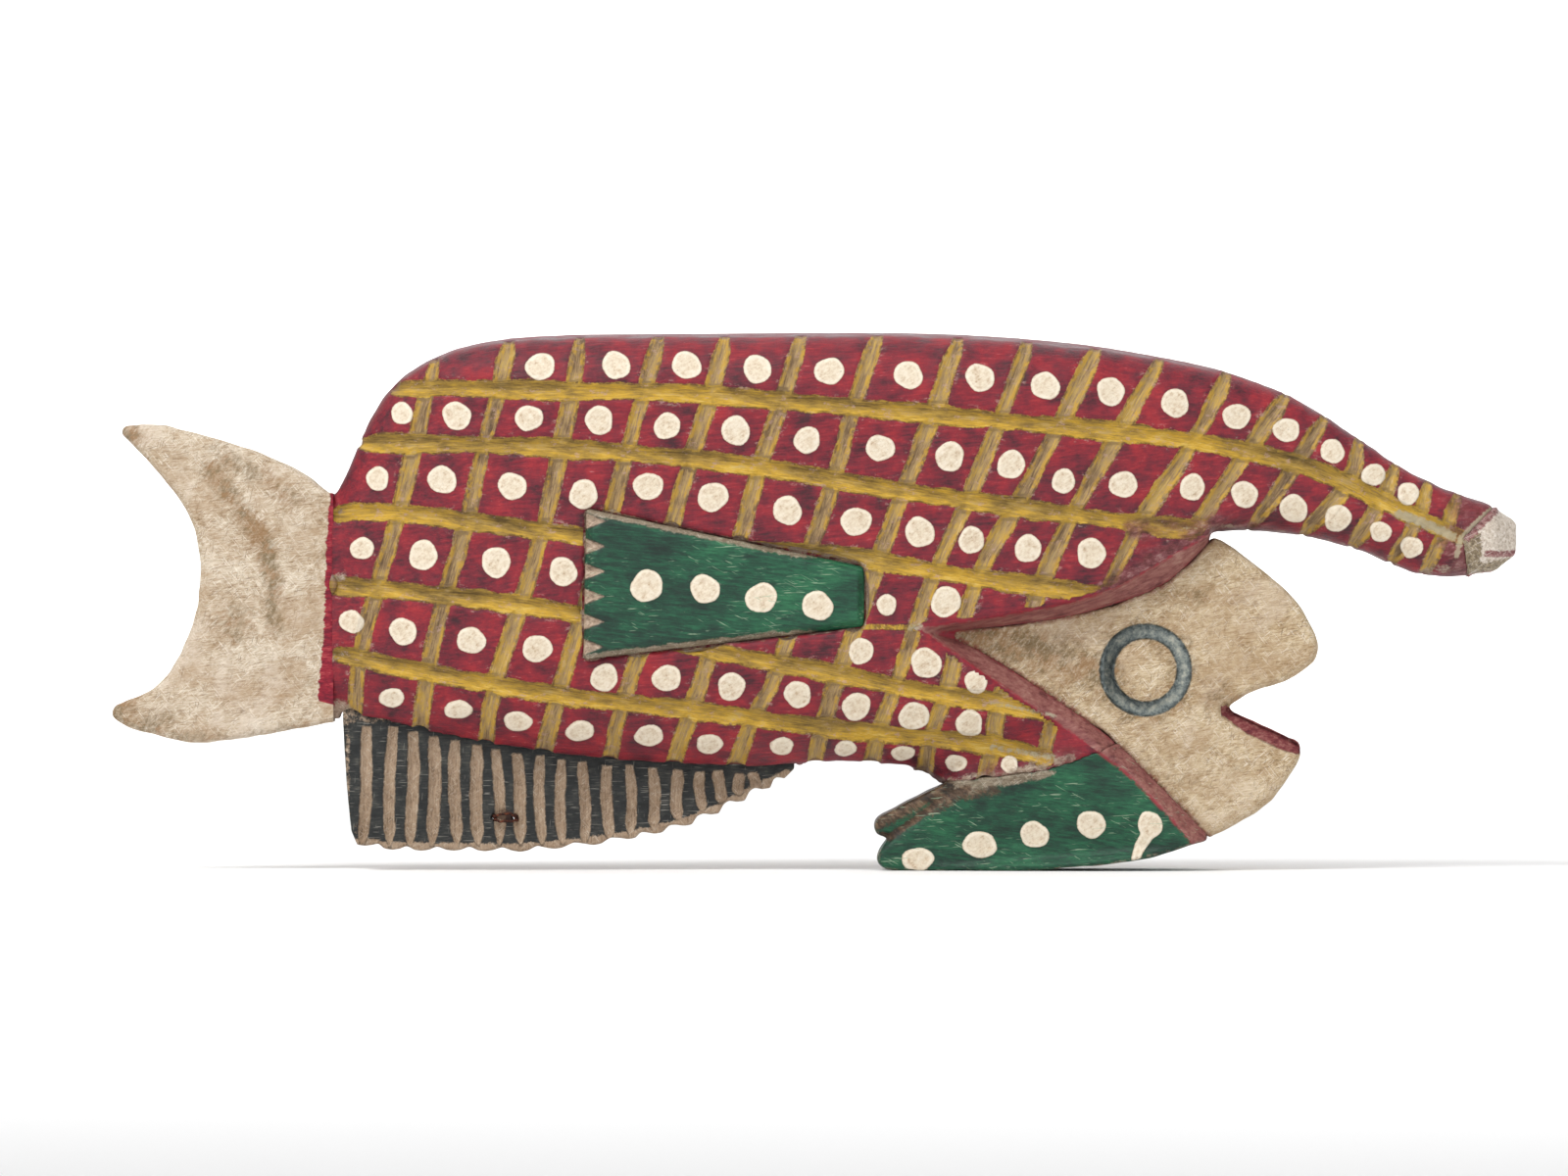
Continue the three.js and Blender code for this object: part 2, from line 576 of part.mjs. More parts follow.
addPair("body_shell", "scales", bodyShell());
addPair("pectoral_fin", "fin_green", pectoralFin(0));
addPair("pelvic_fin", "fin_green", pelvicFin());
addPiece("head", "bare_wood", geometryOf(head()));
addPiece("tail", "bare_wood", geometryOf(tail()));
const fluted = raspFinBlank(0).subtract(raspFlutes());
addPiece("rasp_fin", "rasp", geometryOf(fluted.subtract(stapleHoles()).subtract(holes)));
addPiece("handle_knob", "white", geometryOf(handleKnob()));
addPiece("wire_staple", "iron", wireStaple());
addPiece("knob_dowel", "dowel", geometryOf(knobDowel(0)));
for (const [name, radius, x, z, half] of DOWELS) {
  addPiece(name, "dowel", geometryOf(bar(radius, x, z, -half, half)));
}

export default guiro;
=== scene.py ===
"""A carved and painted wooden fish guiro: fine surfaces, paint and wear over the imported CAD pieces.

Lengths are in millimetres until a mesh is written, +X is towards the snout, -Y is the fish's right flank.
"""

import bmesh
import bpy
import numpy as np
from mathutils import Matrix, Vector


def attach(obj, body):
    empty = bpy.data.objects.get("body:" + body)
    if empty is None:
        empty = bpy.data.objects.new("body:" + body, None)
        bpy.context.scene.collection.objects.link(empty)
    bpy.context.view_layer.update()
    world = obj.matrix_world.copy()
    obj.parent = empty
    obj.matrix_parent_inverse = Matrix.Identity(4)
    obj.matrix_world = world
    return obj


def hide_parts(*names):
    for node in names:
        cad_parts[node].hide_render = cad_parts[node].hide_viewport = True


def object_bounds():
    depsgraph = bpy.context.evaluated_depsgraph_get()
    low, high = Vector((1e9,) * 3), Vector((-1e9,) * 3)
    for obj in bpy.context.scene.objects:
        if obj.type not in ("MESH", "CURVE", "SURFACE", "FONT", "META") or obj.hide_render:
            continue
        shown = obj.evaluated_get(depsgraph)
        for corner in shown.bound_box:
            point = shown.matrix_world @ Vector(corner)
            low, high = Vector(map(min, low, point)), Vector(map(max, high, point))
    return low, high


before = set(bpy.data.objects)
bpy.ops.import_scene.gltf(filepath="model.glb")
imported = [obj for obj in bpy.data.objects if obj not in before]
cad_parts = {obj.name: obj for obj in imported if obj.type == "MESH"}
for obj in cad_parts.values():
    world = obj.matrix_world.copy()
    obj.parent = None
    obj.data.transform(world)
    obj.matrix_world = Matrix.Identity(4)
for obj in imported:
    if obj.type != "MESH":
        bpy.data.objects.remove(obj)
CAD_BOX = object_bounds()
MM = 0.001

# ---------------------------------------------------------------- the body's form, as in the CAD
BACK = [
    (-196, 152.2), (-188, 168), (-178.6, 189), (-169, 200.6), (-158, 208), (-140, 214.6), (-111, 218.2),
    (-52, 219.1), (42, 219.3), (100, 215.8), (138, 210.2), (167, 203.8), (196, 192.6), (215, 180.8),
    (244, 161.8), (268, 151.7), (280, 147.2), (286.6, 142),
]
UNDERSIDE = [
    (161, 137.8), (186, 137.9), (205.4, 134.8), (224.6, 129.4), (244, 121), (253.4, 119.4), (266, 120),
    (280, 122.4), (286.6, 128.5),
]
BELLY = [
    (-196, 60.5), (-174, 61.2), (-158, 59.4), (-133, 54.8), (-112, 50.6), (-87, 46.6), (-61, 44.2),
    (-25, 42), (3, 42.6), (20, 42.6), (42, 40.4), (54, 36.8), (92, 41), (113, 48), (161, 64),
]
HALF_THICKNESS = [
    (-196, 14), (-170, 20), (-135, 28.5), (-95, 33.5), (-30, 36), (50, 36), (105, 33.5), (150, 27.5),
    (190, 21.5), (235, 17.5), (262, 16), (276, 14.5), (282, 11), (286.6, 6),
]
BACK_ROUNDING = [(-196, 26), (-150, 34), (-100, 40), (100, 38), (160, 26), (235, 17), (286, 14)]
BELLY_ROUNDING = [(-196, 30), (-150, 44), (-100, 50), (40, 48), (160, 40)]
UNDERSIDE_ROUNDING = [(154, 0.5), (161, 3), (180, 16), (200, 21), (240, 17), (286, 14)]
PELVIC_HALF = [(20, 16), (54, 20), (92, 26), (125, 28.5), (161, 25.5)]
BACK_CROWN, BELLY_CROWN, HANDLE_CROWN = 3.4, 2.2, 2.6
PELVIC_ROOT_X, PELVIC_ROOT_TOP = 54, 80
PELVIC_JOINT = [(54.4, 36.2), (74, 38), (92, 40.6), (113, 47.6), (126, 52)]
REAR_X = -196  # where the body ends and the tail begins
HANDLE_X = 160  # where the handle leaves the head

# The bevelled band round the gill: its outer edge and its foot, above and below the point.
GILL_UPPER_EDGE = [(41.8, 99), (79, 104.2), (116.4, 113), (148.6, 130.2), (162, 138.4)]
GILL_UPPER_FOOT = [(50, 96.6), (96, 101.8), (122.6, 108.4), (144.2, 117.4), (164, 136.8)]
GILL_LOWER_EDGE = [(154.8, 9.6), (141.4, 25), (121, 44.2), (75.2, 75.9), (41.8, 99)]
GILL_LOWER_FOOT = [(161.6, 13), (136.4, 39.2), (111, 61.6), (67, 90), (50, 96.6)]

PECTORAL = [(-92.4, 147.2), (-93.6, 86), (20.4, 99.4), (20.4, 123.6)]
PECTORAL_NOTCHES = 6
EYE = (134.8, 81.6)
LOWER_LIP = [(168, 66), (176.6, 61.8), (197.4, 52.4)]
RASP_HALF = 7
WIRE_SIDES = 10
RIBS, FIRST_RIB, RIB_PITCH = 19, -183.4, 8.81
# The rasp fin's lower edge.
SCALLOPS = [
    (-183, 9.8), (-172, 8.2), (-160, 7.8), (-147, 7.8), (-134, 7.6), (-120, 7.4), (-105.8, 8.6),
    (-90, 10.2), (-76, 12.6), (-65, 14.8), (-53, 18), (-42, 22.6), (-31.4, 27.8), (-21, 33), (-12, 37.4),
]
# How far the body's lower edge hangs down beside the rasp fin: x and the drop.
SKIRT = [(-192, 0), (-184, 3.4), (-163, 5.6), (-129, 4.6), (-93, 3), (-56, 2), (-23, 1.4), (0, 0)]

# ---------------------------------------------------------------- the painted lattice
# Gouged lines that run along the body, from the tail to the head.
LONG_LINES = [
    [(-171, 196.8), (-102, 195), (-51, 193.8), (20, 187.8), (103, 180.2), (154, 174.6), (195, 165.8),
     (214, 159), (235, 148.6), (262, 136)],
    [(-186, 174), (-133, 173), (-76, 169.8), (-21, 163.8), (35, 154.2), (82, 147.8), (139, 140.2),
     (158, 138.6)],
    [(-193, 145.8), (-169, 145.4), (-110, 138.2), (-60, 131.5), (6, 128.6), (66, 119), (118, 112.4)],
    [(-197, 116.2), (-149, 111.8), (-93, 103.8), (-37, 88.6), (6, 80.8), (30, 75.8), (53, 71.2), (76, 68),
     (99, 62.6)],
    [(-193, 88), (-158, 80.6), (-102, 71), (-50, 65.4), (2, 58.4), (47, 53.8), (76, 50.2), (94, 46.2)],
]
# Gouged lines across the body: x where each meets the back, the long lines in order, and the belly.
CROSS_LINES = [
    (-154, -157, -162, -169, -178, -185, -188),
    (-124, -128, -134, -141, -150, -157, -161),
    (-95, -98, -103, -110, -119, -130, -134),
    (-63, -69, -76, -85, -94, -104, -111),
    (-36, -42, -50, -60, -68, -78, -84),
    (-5, -13, -22, -31, -42, -50, -59),
    (26, 16, 8, -2, -14, -25, -34),
    (59, 48, 36, 26, 10, 3, 0),
    (87, 75, 62, 49, 33, 26, 23),
    (115, 99, 82, 66, 53, 47, 45),
    (141, 124, 105, 92, 75, 73, 69),
    (168, 154, 132, 118),
    (192, 176, 154),
    (208, 196, 177),
    (222, 217, 199),
    (237, 231, 219),
    (250, 246, 235),
    (262, 257, 248),
]
# The line nearest the head is too short for that, so it has its places as x and z.
LAST_CROSS_LINE = [(97, 62.4), (95, 54), (92.4, 45)]
REAR_LINE = (-181, -181, -191, -199, -200, -198, -196)  # the rear side of the first cells, not gouged
LINE_HALF, LINE_DEPTH = 3.7, 1.9
CROSS_HALF, CROSS_DEPTH = 3.3, 1.6
DOT_RADIUS = 5.85
BARE_BACK_CELLS = 2  # the rearmost cells of the top row carry no dot
FIN_CELLS = (-93, 18)  # from and to this x the pectoral fin covers part of the cells
# Dabs outside the lattice's cells: x, z and the radius, or the two half widths for an oval.
CHEEK_DOTS = [
    (29.4, 108.2, 4.2), (53.4, 109.4, 6.2), (19, 89.4, 5.2), (45.4, 84.6, 6.2), (65.6, 76.8, 4.7),
    (79.4, 43.2, 3.6),
]
HANDLE_DOTS = [
    (101.1, 158.3, 4.9), (125.4, 157, 5.6), (153.5, 155.9, 5.3), (174.9, 153, 5.5), (195, 147.4, 5.7),
    (213.1, 143.4, 5.4), (230.5, 137.9, 4.3), (243.1, 131.6, 4.5),
]
PECTORAL_DOTS = [(-67.8, 115.8, 6.6), (-44.2, 114.6, 6), (-21.4, 111, 6.3), (1.4, 107.8, 6.2)]
PELVIC_DOTS = [
    (42.2, 4.6, 6.8, 4.6), (67.4, 10.6, 7.2, 5.2), (89.6, 14.8, 5.9, 5.3), (112.6, 19, 6.1, 5.4),
    (136.4, 18.8, 4.8, 5.8),
]

FAR = 9.0  # a signed distance that is clear of a painted or cut edge
HIDDEN = 6.0  # added to signed distances, it keeps dabs and lines off surfaces that have none
# The joint between the handle and the knob, and the swell that closes the one between the body and
# a pelvic fin: its height and width.
COLLAR = [(279.6, 160), (277.6, 147.6), (264.6, 135.4), (266.8, 119.4), (267, 105)]
JOINT_SWELL, JOINT_SPREAD = 0.45, 1.3
MARGIN = 0.02  # the finished meshes stay this far inside the CAD box
# These keep the brush marks of one gouge from repeating in another.
LINE_SHIFT, ACROSS_SHIFT, RUN_SHIFT = 37, 60, 500


# ---------------------------------------------------------------- lines and distances
def spline(points, steps=8):
    """The same smooth line through the points as the CAD's."""
    p = np.array(points, float)
    made = []
    for i in range(len(p) - 1):
        a, b = p[i], p[i + 1]
        before, after = p[max(i - 1, 0)], p[min(i + 2, len(p) - 1)]
        v, w = (b - before) / 2, (after - a) / 2
        for t in np.arange(steps) / steps:
            made.append(
                (2 * a - 2 * b + v + w) * t**3 + (-3 * a + 3 * b - 2 * v - w) * t**2 + v * t + a
            )
    return np.array(made + [p[-1]])


def spline3(points, steps):
    """A smooth line through points in space."""
    p = np.array(points, float)
    flat = [spline(p[:, [0, k]], steps) for k in (1, 2)]
    return np.column_stack([flat[0], flat[1][:, 1]])


def along(points, x):
    """Height of a smooth line at x."""
    line = spline(points)
    return np.interp(x, line[:, 0], line[:, 1])


def level(points, x):
    """Height at x of a line straight between its points."""
    return np.interp(x, *np.array(points, float).T)


def distance(line, x, z):
    """Distance from each place to a line of points."""
    line = np.asarray(line, float)
    least = np.full(np.shape(x), np.inf)
    for (ax, az), (bx, bz) in zip(line[:-1], line[1:]):
        ux, uz = bx - ax, bz - az
        t = np.clip(((x - ax) * ux + (z - az) * uz) / max(ux * ux + uz * uz, 1e-9), 0, 1)
        least = np.minimum(least, np.hypot(x - ax - t * ux, z - az - t * uz))
    return least


def track(line, x, z):
    """Distance to a line, signed distance across it and distance run along it, for each place."""
    line = np.asarray(line, float)
    least, across, run = np.full(x.shape, np.inf), np.zeros(x.shape), np.zeros(x.shape)
    start = 0.0
    for (ax, az), (bx, bz) in zip(line[:-1], line[1:]):
        ux, uz = bx - ax, bz - az
        length = max(np.hypot(ux, uz), 1e-6)
        t = np.clip(((x - ax) * ux + (z - az) * uz) / length**2, 0, 1)
        away = np.hypot(x - ax - t * ux, z - az - t * uz)
        closer = away < least
        least = np.where(closer, away, least)
        across = np.where(closer, ((x - ax) * uz - (z - az) * ux) / length, across)
        run = np.where(closer, start + t * length, run)
        start += length
    return least, across, run


def within(polygon, x, z):
    """Signed distance to a closed outline, below 0 inside it."""
    ring = np.vstack([polygon, polygon[:1]])
    inside = np.zeros(np.shape(x), bool)
    for (ax, az), (bx, bz) in zip(ring[:-1], ring[1:]):
        if az == bz:
            continue
        crosses = (az > z) != (bz > z)
        inside ^= crosses & (x < (bx - ax) * (z - az) / (bz - az) + ax)
    return np.where(inside, -1, 1) * distance(ring, x, z)


def smoothstep(value, low, high):
    t = np.clip((value - low) / (high - low), 0, 1)
    return t * t * (3 - 2 * t)


def wobble(x, z, size, seed):
    """A smooth wandering between about -1 and 1, with features that many mm across."""
    rng = np.random.default_rng(seed)
    total = 0
    for _ in range(6):
        angle, phase = rng.uniform(0, 2 * np.pi, 2)
        k = 2 * np.pi / (size * rng.uniform(0.7, 1.6))
        total = total + np.sin(k * (x * np.cos(angle) + z * np.sin(angle)) + phase)
    return total / 3


def bell(value, wide):
    """1 where the value is 0, falling off over that width."""
    return np.exp(-((value / wide) ** 2))


def marks(x, z, bands=(), spots=()):
    """The strongest of some soft marks at each place. Bands are (line, width, share) and spots are
    (x, z, width, height, share)."""
    soft = [share * bell(distance(line, x, z), wide) for line, wide, share in bands]
    soft += [share * bell(x - x0, wide) * bell(z - z0, tall) for x0, z0, wide, tall, share in spots]
    return np.maximum.reduce(soft)


EDGES = [
    (BACK, BACK_CROWN, BACK_ROUNDING),
    (BELLY, BELLY_CROWN, BELLY_ROUNDING),
    (UNDERSIDE, HANDLE_CROWN, UNDERSIDE_ROUNDING),
]


def body_half(x, z):
    """Half thickness of the body at a place on its side view."""
    half = along(HALF_THICKNESS, x)
    for edge, crown, rounding in EDGES:
        inward = np.minimum(distance(spline(edge, 4), x, z) / along(rounding, x), 1)
        half = half * (1 - (1 - inward) ** crown) ** (1 / crown)
    root = along(PELVIC_HALF, x) * smoothstep(x, PELVIC_ROOT_X - 6, PELVIC_ROOT_X + 6)
    return np.maximum(half, np.where(z < PELVIC_ROOT_TOP, root, 0))


# ---------------------------------------------------------------- meshes
def add_object(name, data):
    made = bpy.data.objects.new(name, data)
    bpy.context.scene.collection.objects.link(made)
    return made


def shade_smooth(mesh):
    mesh.polygons.foreach_set("use_smooth", np.ones(len(mesh.polygons), bool))


class Skin:
    """A piece's surface as arrays, in mm, that carving moves and that is then written back."""

    def __init__(self, node, name, voxel):
        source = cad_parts[node]
        mesh = bmesh.new()
        mesh.from_mesh(source.data)
        bmesh.ops.remove_doubles(mesh, verts=mesh.verts, dist=1e-6)
        coarse = bpy.data.meshes.new(name)
        mesh.to_mesh(coarse)
        mesh.free()
        self.piece = add_object(name, coarse)
        remesh = self.piece.modifiers.new("even", "REMESH")
        remesh.mode = "VOXEL"
        remesh.voxel_size = voxel * MM
        seen = self.piece.evaluated_get(bpy.context.evaluated_depsgraph_get())
        fine = bpy.data.meshes.new_from_object(seen)
        self.piece.modifiers.clear()
        self.piece.data = fine
        fine.name = name
        fine.materials.clear()
        self.node = node
        self.points = self.read(fine.vertices, "co", 3) / MM
        self.edges = self.read(fine.edges, "vertices", 2, np.int32)
        self.faces = self.read(fine.loops, "vertex_index", 1, np.int32).reshape(-1, 4)
        self.links = np.bincount(self.edges.ravel(), minlength=len(self.points))

    @staticmethod
    def read(items, what, width, kind=np.float32):
        values = np.empty(len(items) * width, kind)
        items.foreach_get(what, values)
        return values.reshape(-1, width).astype(float if kind is np.float32 else int)

    @property
    def x(self):
        return self.points[:, 0]

    @property
    def out(self):
        """Distance out from the mid-plane."""
        return np.abs(self.points[:, 1])

    @property
    def z(self):
        return self.points[:, 2]

    def normals(self):
        a, b, c, d = (self.points[self.faces[:, k]] for k in range(4))
        flat = np.cross(c - a, d - b)
        total = np.zeros_like(self.points)
        for k in range(4):
            for axis in range(3):
                total[:, axis] += np.bincount(self.faces[:, k], flat[:, axis], len(self.points))
        return total / np.maximum(np.linalg.norm(total, axis=1, keepdims=True), 1e-12)

    def facing(self):
        """How far each point faces sideways, from 0 to 1."""
        return np.abs(self.normals()[:, 1])

    def near(self, line):
        """Distance from each point to a line, seen from the side."""
        return distance(line, self.x, self.z)

    def spread(self, values, rounds=1):
        """Each point's value averaged with its neighbours'."""
        first, second = self.edges.T
        for _ in range(rounds):
            total = np.bincount(first, values[second], len(values))
            total += np.bincount(second, values[first], len(values))
            values = 0.5 * values + 0.5 * total / self.links
        return values

    def relax(self, rounds, share=None):
        """Smooths the surface, all over or by each point's share."""
        for _ in range(rounds):
            moved = np.stack([self.spread(self.points[:, k]) for k in range(3)], axis=1)
            self.points += (moved - self.points) * (1 if share is None else share[:, None])

    def push_out(self, distances):
        """Moves the points along y, away from the mid-plane when positive."""
        self.points[:, 1] += np.sign(self.points[:, 1]) * distances

    def lift(self, heights):
        """Moves the points along their normals."""
        self.points += self.normals() * heights[:, None]

    def paint(self, **values):
        for name, value in values.items():
            layer = self.piece.data.attributes.new(name, "FLOAT", "POINT")
            layer.data.foreach_set("value", np.asarray(value, np.float32))

    def write(self, material, slot):
        low, high = (np.array(tuple(corner)) / MM for corner in CAD_BOX)
        self.points = np.clip(self.points, low + MARGIN, high - MARGIN)
        mesh = self.piece.data
        mesh.vertices.foreach_set("co", (self.points * MM).astype(np.float32).ravel())
        mesh.update()
        shade_smooth(mesh)
        mesh.materials.append(material)
        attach(self.piece, "root")
        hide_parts(self.node)
        print(self.piece.name, 2 * len(self.faces), "triangles")
        return self.piece


# ---------------------------------------------------------------- lattice
def gill_outline(upper, lower):
    """A closed outline round everything ahead of a pair of gill lines."""
    return np.vstack([spline(upper), [(168, 138.4), (168, 9)], spline(lower)[:-1]])


def cross_points(stations):
    """A cross line's places, from the back down to the belly or the handle's underside."""
    heights = [along(BACK, stations[0]) - 1.2]
    heights += [along(line, x) for line, x in zip(LONG_LINES, stations[1:])]
    if len(stations) == 7:
        heights[-1:] = [heights[-1], along(BELLY, stations[-1]) - (5 if stations[-1] < -10 else 0)]
    if len(stations) == 3:
        heights[-1] = along(UNDERSIDE, stations[-1])
    return list(zip(stations, heights[: len(stations)]))


def lattice(x, z):
    """The gouged lines: signed distances to their edges, along the body and across it, and the
    distances across and along whichever line is nearer."""
    wide = 1 + 0.14 * wobble(x, z, 46, 3) + 0.09 * wobble(x, z, 8, 4)
    # the cross lines narrow towards the back and the handle's underside, the long ones towards the rump
    to_underside = np.where(x > HANDLE_X, 1.4 * (z - along(UNDERSIDE, x)), 9)
    to_edge = np.minimum(along(BACK, x) - z, to_underside)
    taper = 0.2 + 0.8 * np.sqrt(np.clip(to_edge / 9, 0, 1))
    crosses = [cross_points(stations) for stations in CROSS_LINES] + [LAST_CROSS_LINE]
    to_back = np.where(x < -150, distance(spline(BACK, 4), x, z), 9)
    fading = 0.3 + 0.7 * np.sqrt(np.clip(to_back / 8, 0, 1))
    kinds = [(LONG_LINES, LINE_HALF * wide * fading, 4), (crosses, CROSS_HALF * wide * taper, 3)]
    edges, courses = [], []
    for lines, half, steps in kinds:
        least, across, run = np.full(x.shape, np.inf), np.zeros(x.shape), np.zeros(x.shape)
        for number, line in enumerate(lines):
            away, beside, passed = track(spline(line, steps), x, z)
            closer = away < least
            least = np.where(closer, away, least)
            across = np.where(closer, beside, across)
            run = np.where(closer, passed + LINE_SHIFT * number, run)
        edges.append(least - half)
        courses.append((across, run))
    scratch = distance([(14, 99.4), (41, 99)], x, z) - 0.9
    on_long = edges[0] < 0.6
    across = np.where(on_long, courses[0][0], courses[1][0] + ACROSS_SHIFT)
    run = np.where(on_long, courses[0][1], courses[1][1] + RUN_SHIFT)
    return np.minimum(edges[0], scratch), edges[1], across, run


def cell_dots(rng):
    """One dab of paint for each cell of the lattice: (x, z, half width, half height)."""
    columns = [REAR_LINE] + CROSS_LINES
    dots = []
    for row in range(6):
        for k, (left, right) in enumerate(zip(columns[:-1], columns[1:])):
            if row + 1 >= min(len(left), len(right)):
                continue
            x = np.mean([left[row], left[row + 1], right[row], right[row + 1]])
            bare = (row == 0 and (x > 248 or k < BARE_BACK_CELLS)) or (row == 1 and x > 92)
            bare |= (row == 3 and x > -80) or (row == 5 and k == 0)
            top = along(BACK, x) - 3 if row == 0 else along(LONG_LINES[row - 1], x)
            low = along(LONG_LINES[row], x) if row < 5 else along(BELLY, x)
            # the pectoral fin covers part of the cells above and below it
            if FIN_CELLS[0] < x < FIN_CELLS[1]:
                low = max(low, level(PECTORAL[::3], x)) if row == 2 else low
                top = min(top, level(PECTORAL[1:3], x)) if row == 4 else top
            if bare or distance(spline(GILL_UPPER_EDGE), x, 0.5 * (top + low)) < 9:
                continue
            share = 0.45 if row == 4 and x > 0 else 0.5
            if row == 5:
                share, low = 0.44, low - np.interp(x, [-100, -60], [2.2, 0])
            z = low + (top - low) * share
            radius = min(DOT_RADIUS, 0.36 * (top - low)) * rng.uniform(0.93, 1.06)
            if row == 0:
                radius = DOT_RADIUS * np.interp(x, [150, 245], [1, 0.78])
            if row == 5:
                radius = np.interp(x, [-180, -60, 0, 80], [5.4, 6.1, 4.6, 4.7])
            if k == 0 and row:
                x, radius = x + (6 if row == 1 else 2.4), radius * 0.8
            x, z = x + rng.uniform(-1, 1), z + rng.uniform(-0.8, 0.8)
            dots.append((x, z, radius, radius * (0.7 if row == 5 else 0.97)))
    return dots


def dabs(dots, x, z, rng):
    """Signed distance to the nearest dab's uneven edge, below 0 inside."""
    least = np.full(x.shape, np.inf)
    for dx, dz, half_width, half_height in dots:
        u, v = (x - dx) / half_width, (z - dz) / half_height
        angle = np.arctan2(v, u)
        phases = rng.uniform(0, 2 * np.pi, 3)
        uneven = 1
        for lobes, size, phase in zip((2, 3, 5), (0.05, 0.03, 0.02), phases):
            uneven = uneven + size * np.sin(lobes * angle + phase)
        least = np.minimum(least, (np.hypot(u, v) - uneven) * half_height)
    return least


def paint_film(dot):
    """Height of a dab of paint: a thin film with a slightly raised rim."""
    return 0.22 * smoothstep(-dot, 0, 0.9) + 0.16 * bell(dot + 1.2, 0.8)


# ---------------------------------------------------------------- shader graphs
def rgb(code):
    channels = [int(code[i : i + 2], 16) / 255 for i in (0, 2, 4)]
    return [c / 12.92 if c <= 0.04045 else ((c + 0.055) / 1.055) ** 2.4 for c in channels] + [1.0]


class Paint:
    """A material's node graph. Each method adds a node and returns its output."""

    def __init__(self, name):
        self.material = bpy.data.materials.new(name)
        self.material.use_nodes = True
        self.tree = self.material.node_tree
        self.tree.nodes.clear()
        self.place = self.tree.nodes.new("ShaderNodeTexCoord").outputs["Object"]

    def node(self, kind, settings=None, inputs=None, output=0):
        made = self.tree.nodes.new(kind)
        for key, value in (settings or {}).items():
            setattr(made, key, value)
        for key, value in (inputs or {}).items():
            self.plug(made.inputs[key], value)
        return made.outputs[output]

    def plug(self, socket, value):
        """Links another node's output to a socket, or sets a constant on it."""
        if isinstance(value, bpy.types.NodeSocket):
            self.tree.links.new(value, socket)
        else:
            socket.default_value = value

    def layer(self, name):
        return self.node("ShaderNodeAttribute", {"attribute_name": name}, output="Fac")

    def noise(self, size, detail=4.0, rough=0.6, stretch=(1, 1, 1), shift=0.0, turn=0.0, place=None):
        """Noise about 0.5 with features that many mm across, longer along the stretched axes."""
        scale = [1 / (size * s) for s in stretch]
        if place is None:
            scale = [s / MM for s in scale]
            place = self.place
        if turn:
            place = self.node(
                "ShaderNodeVectorRotate", {"rotation_type": "Y_AXIS"}, {"Vector": place, "Angle": turn}
            )
        place = self.node(
            "ShaderNodeMapping", inputs={"Vector": place, "Scale": scale, "Location": (shift, shift, shift)}
        )
        settings = {"Vector": place, "Scale": 1.0, "Detail": detail, "Roughness": rough}
        return self.node("ShaderNodeTexNoise", inputs=settings)

    def scratches(self, size, turn, low, high, shift=0.0):
        """Fine scattered hairlines at an angle, 1 on a line."""
        return self.between(self.noise(size, 1, 0.4, (16, 4, 1), shift, turn), low, high)

    def hairs(self, first, second):
        """Two sets of hairlines at different angles."""
        return self.math("MAXIMUM", self.scratches(*first), self.scratches(*second))

    def math(self, operation, first, second=0.0, third=0.0):
        return self.node("ShaderNodeMath", {"operation": operation}, {0: first, 1: second, 2: third})

    def between(self, value, low, high, to_low=0.0, to_high=1.0):
        """The value mapped and clamped from low..high to a new range."""
        return self.node(
            "ShaderNodeMapRange", {"interpolation_type": "SMOOTHSTEP"},
            {"Value": value, "From Min": low, "From Max": high, "To Min": to_low, "To Max": to_high},
        )

    def inside(self, signed, edge, soft=0.35, ragged=None, amount=0.0):
        """1 where a signed distance is below the edge, with that soft a border, roughened by a noise."""
        if ragged is not None:
            drift = self.math("MULTIPLY_ADD", ragged, 2 * amount, -amount)
            signed = self.math("ADD", signed, drift)
        return self.between(signed, edge - soft, edge + soft, 1.0, 0.0)

    def mix(self, share, first, second):
        made = self.tree.nodes.new("ShaderNodeMix")
        made.data_type = "RGBA"
        for socket, value in ((made.inputs[0], share), (made.inputs[6], first), (made.inputs[7], second)):
            self.plug(socket, value)
        return made.outputs[2]

    def ramp(self, value, stops):
        made = self.tree.nodes.new("ShaderNodeValToRGB")
        elements = made.color_ramp.elements
        elements[0].position, elements[0].color = stops[0][0], rgb(stops[0][1])
        elements[1].position, elements[1].color = stops[-1][0], rgb(stops[-1][1])
        for position, code in stops[1:-1]:
            elements.new(position).color = rgb(code)
        self.tree.links.new(value, made.inputs[0])
        return made.outputs[0]

    def multiply(self, *values):
        total = values[0]
        for value in values[1:]:
            total = self.math("MULTIPLY", total, value)
        return total

    def total(self, *parts):
        """The sum of some values, each times its weight."""
        summed = self.math("MULTIPLY", *parts[0])
        for value, weight in parts[1:]:
            summed = self.math("MULTIPLY_ADD", value, weight, summed)
        return summed

    def tint(self, colour, code, *shares):
        """The colour with a flat one laid over it, by the product of the shares."""
        return self.mix(self.multiply(*shares), colour, rgb(code))

    def beside(self, signed, centre, low, high):
        """1 where a signed distance is within low of the centre, fading to 0 by high."""
        away = self.math("ABSOLUTE", self.math("SUBTRACT", signed, centre))
        return self.between(away, low, high, 1.0, 0.0)

    def patchy(self, layer, noise, amount, low, high):
        """Where a point layer is strong, broken up by a noise."""
        drift = self.math("SUBTRACT", noise, 0.5)
        return self.between(self.math("MULTIPLY_ADD", drift, amount, self.layer(layer)), low, high)

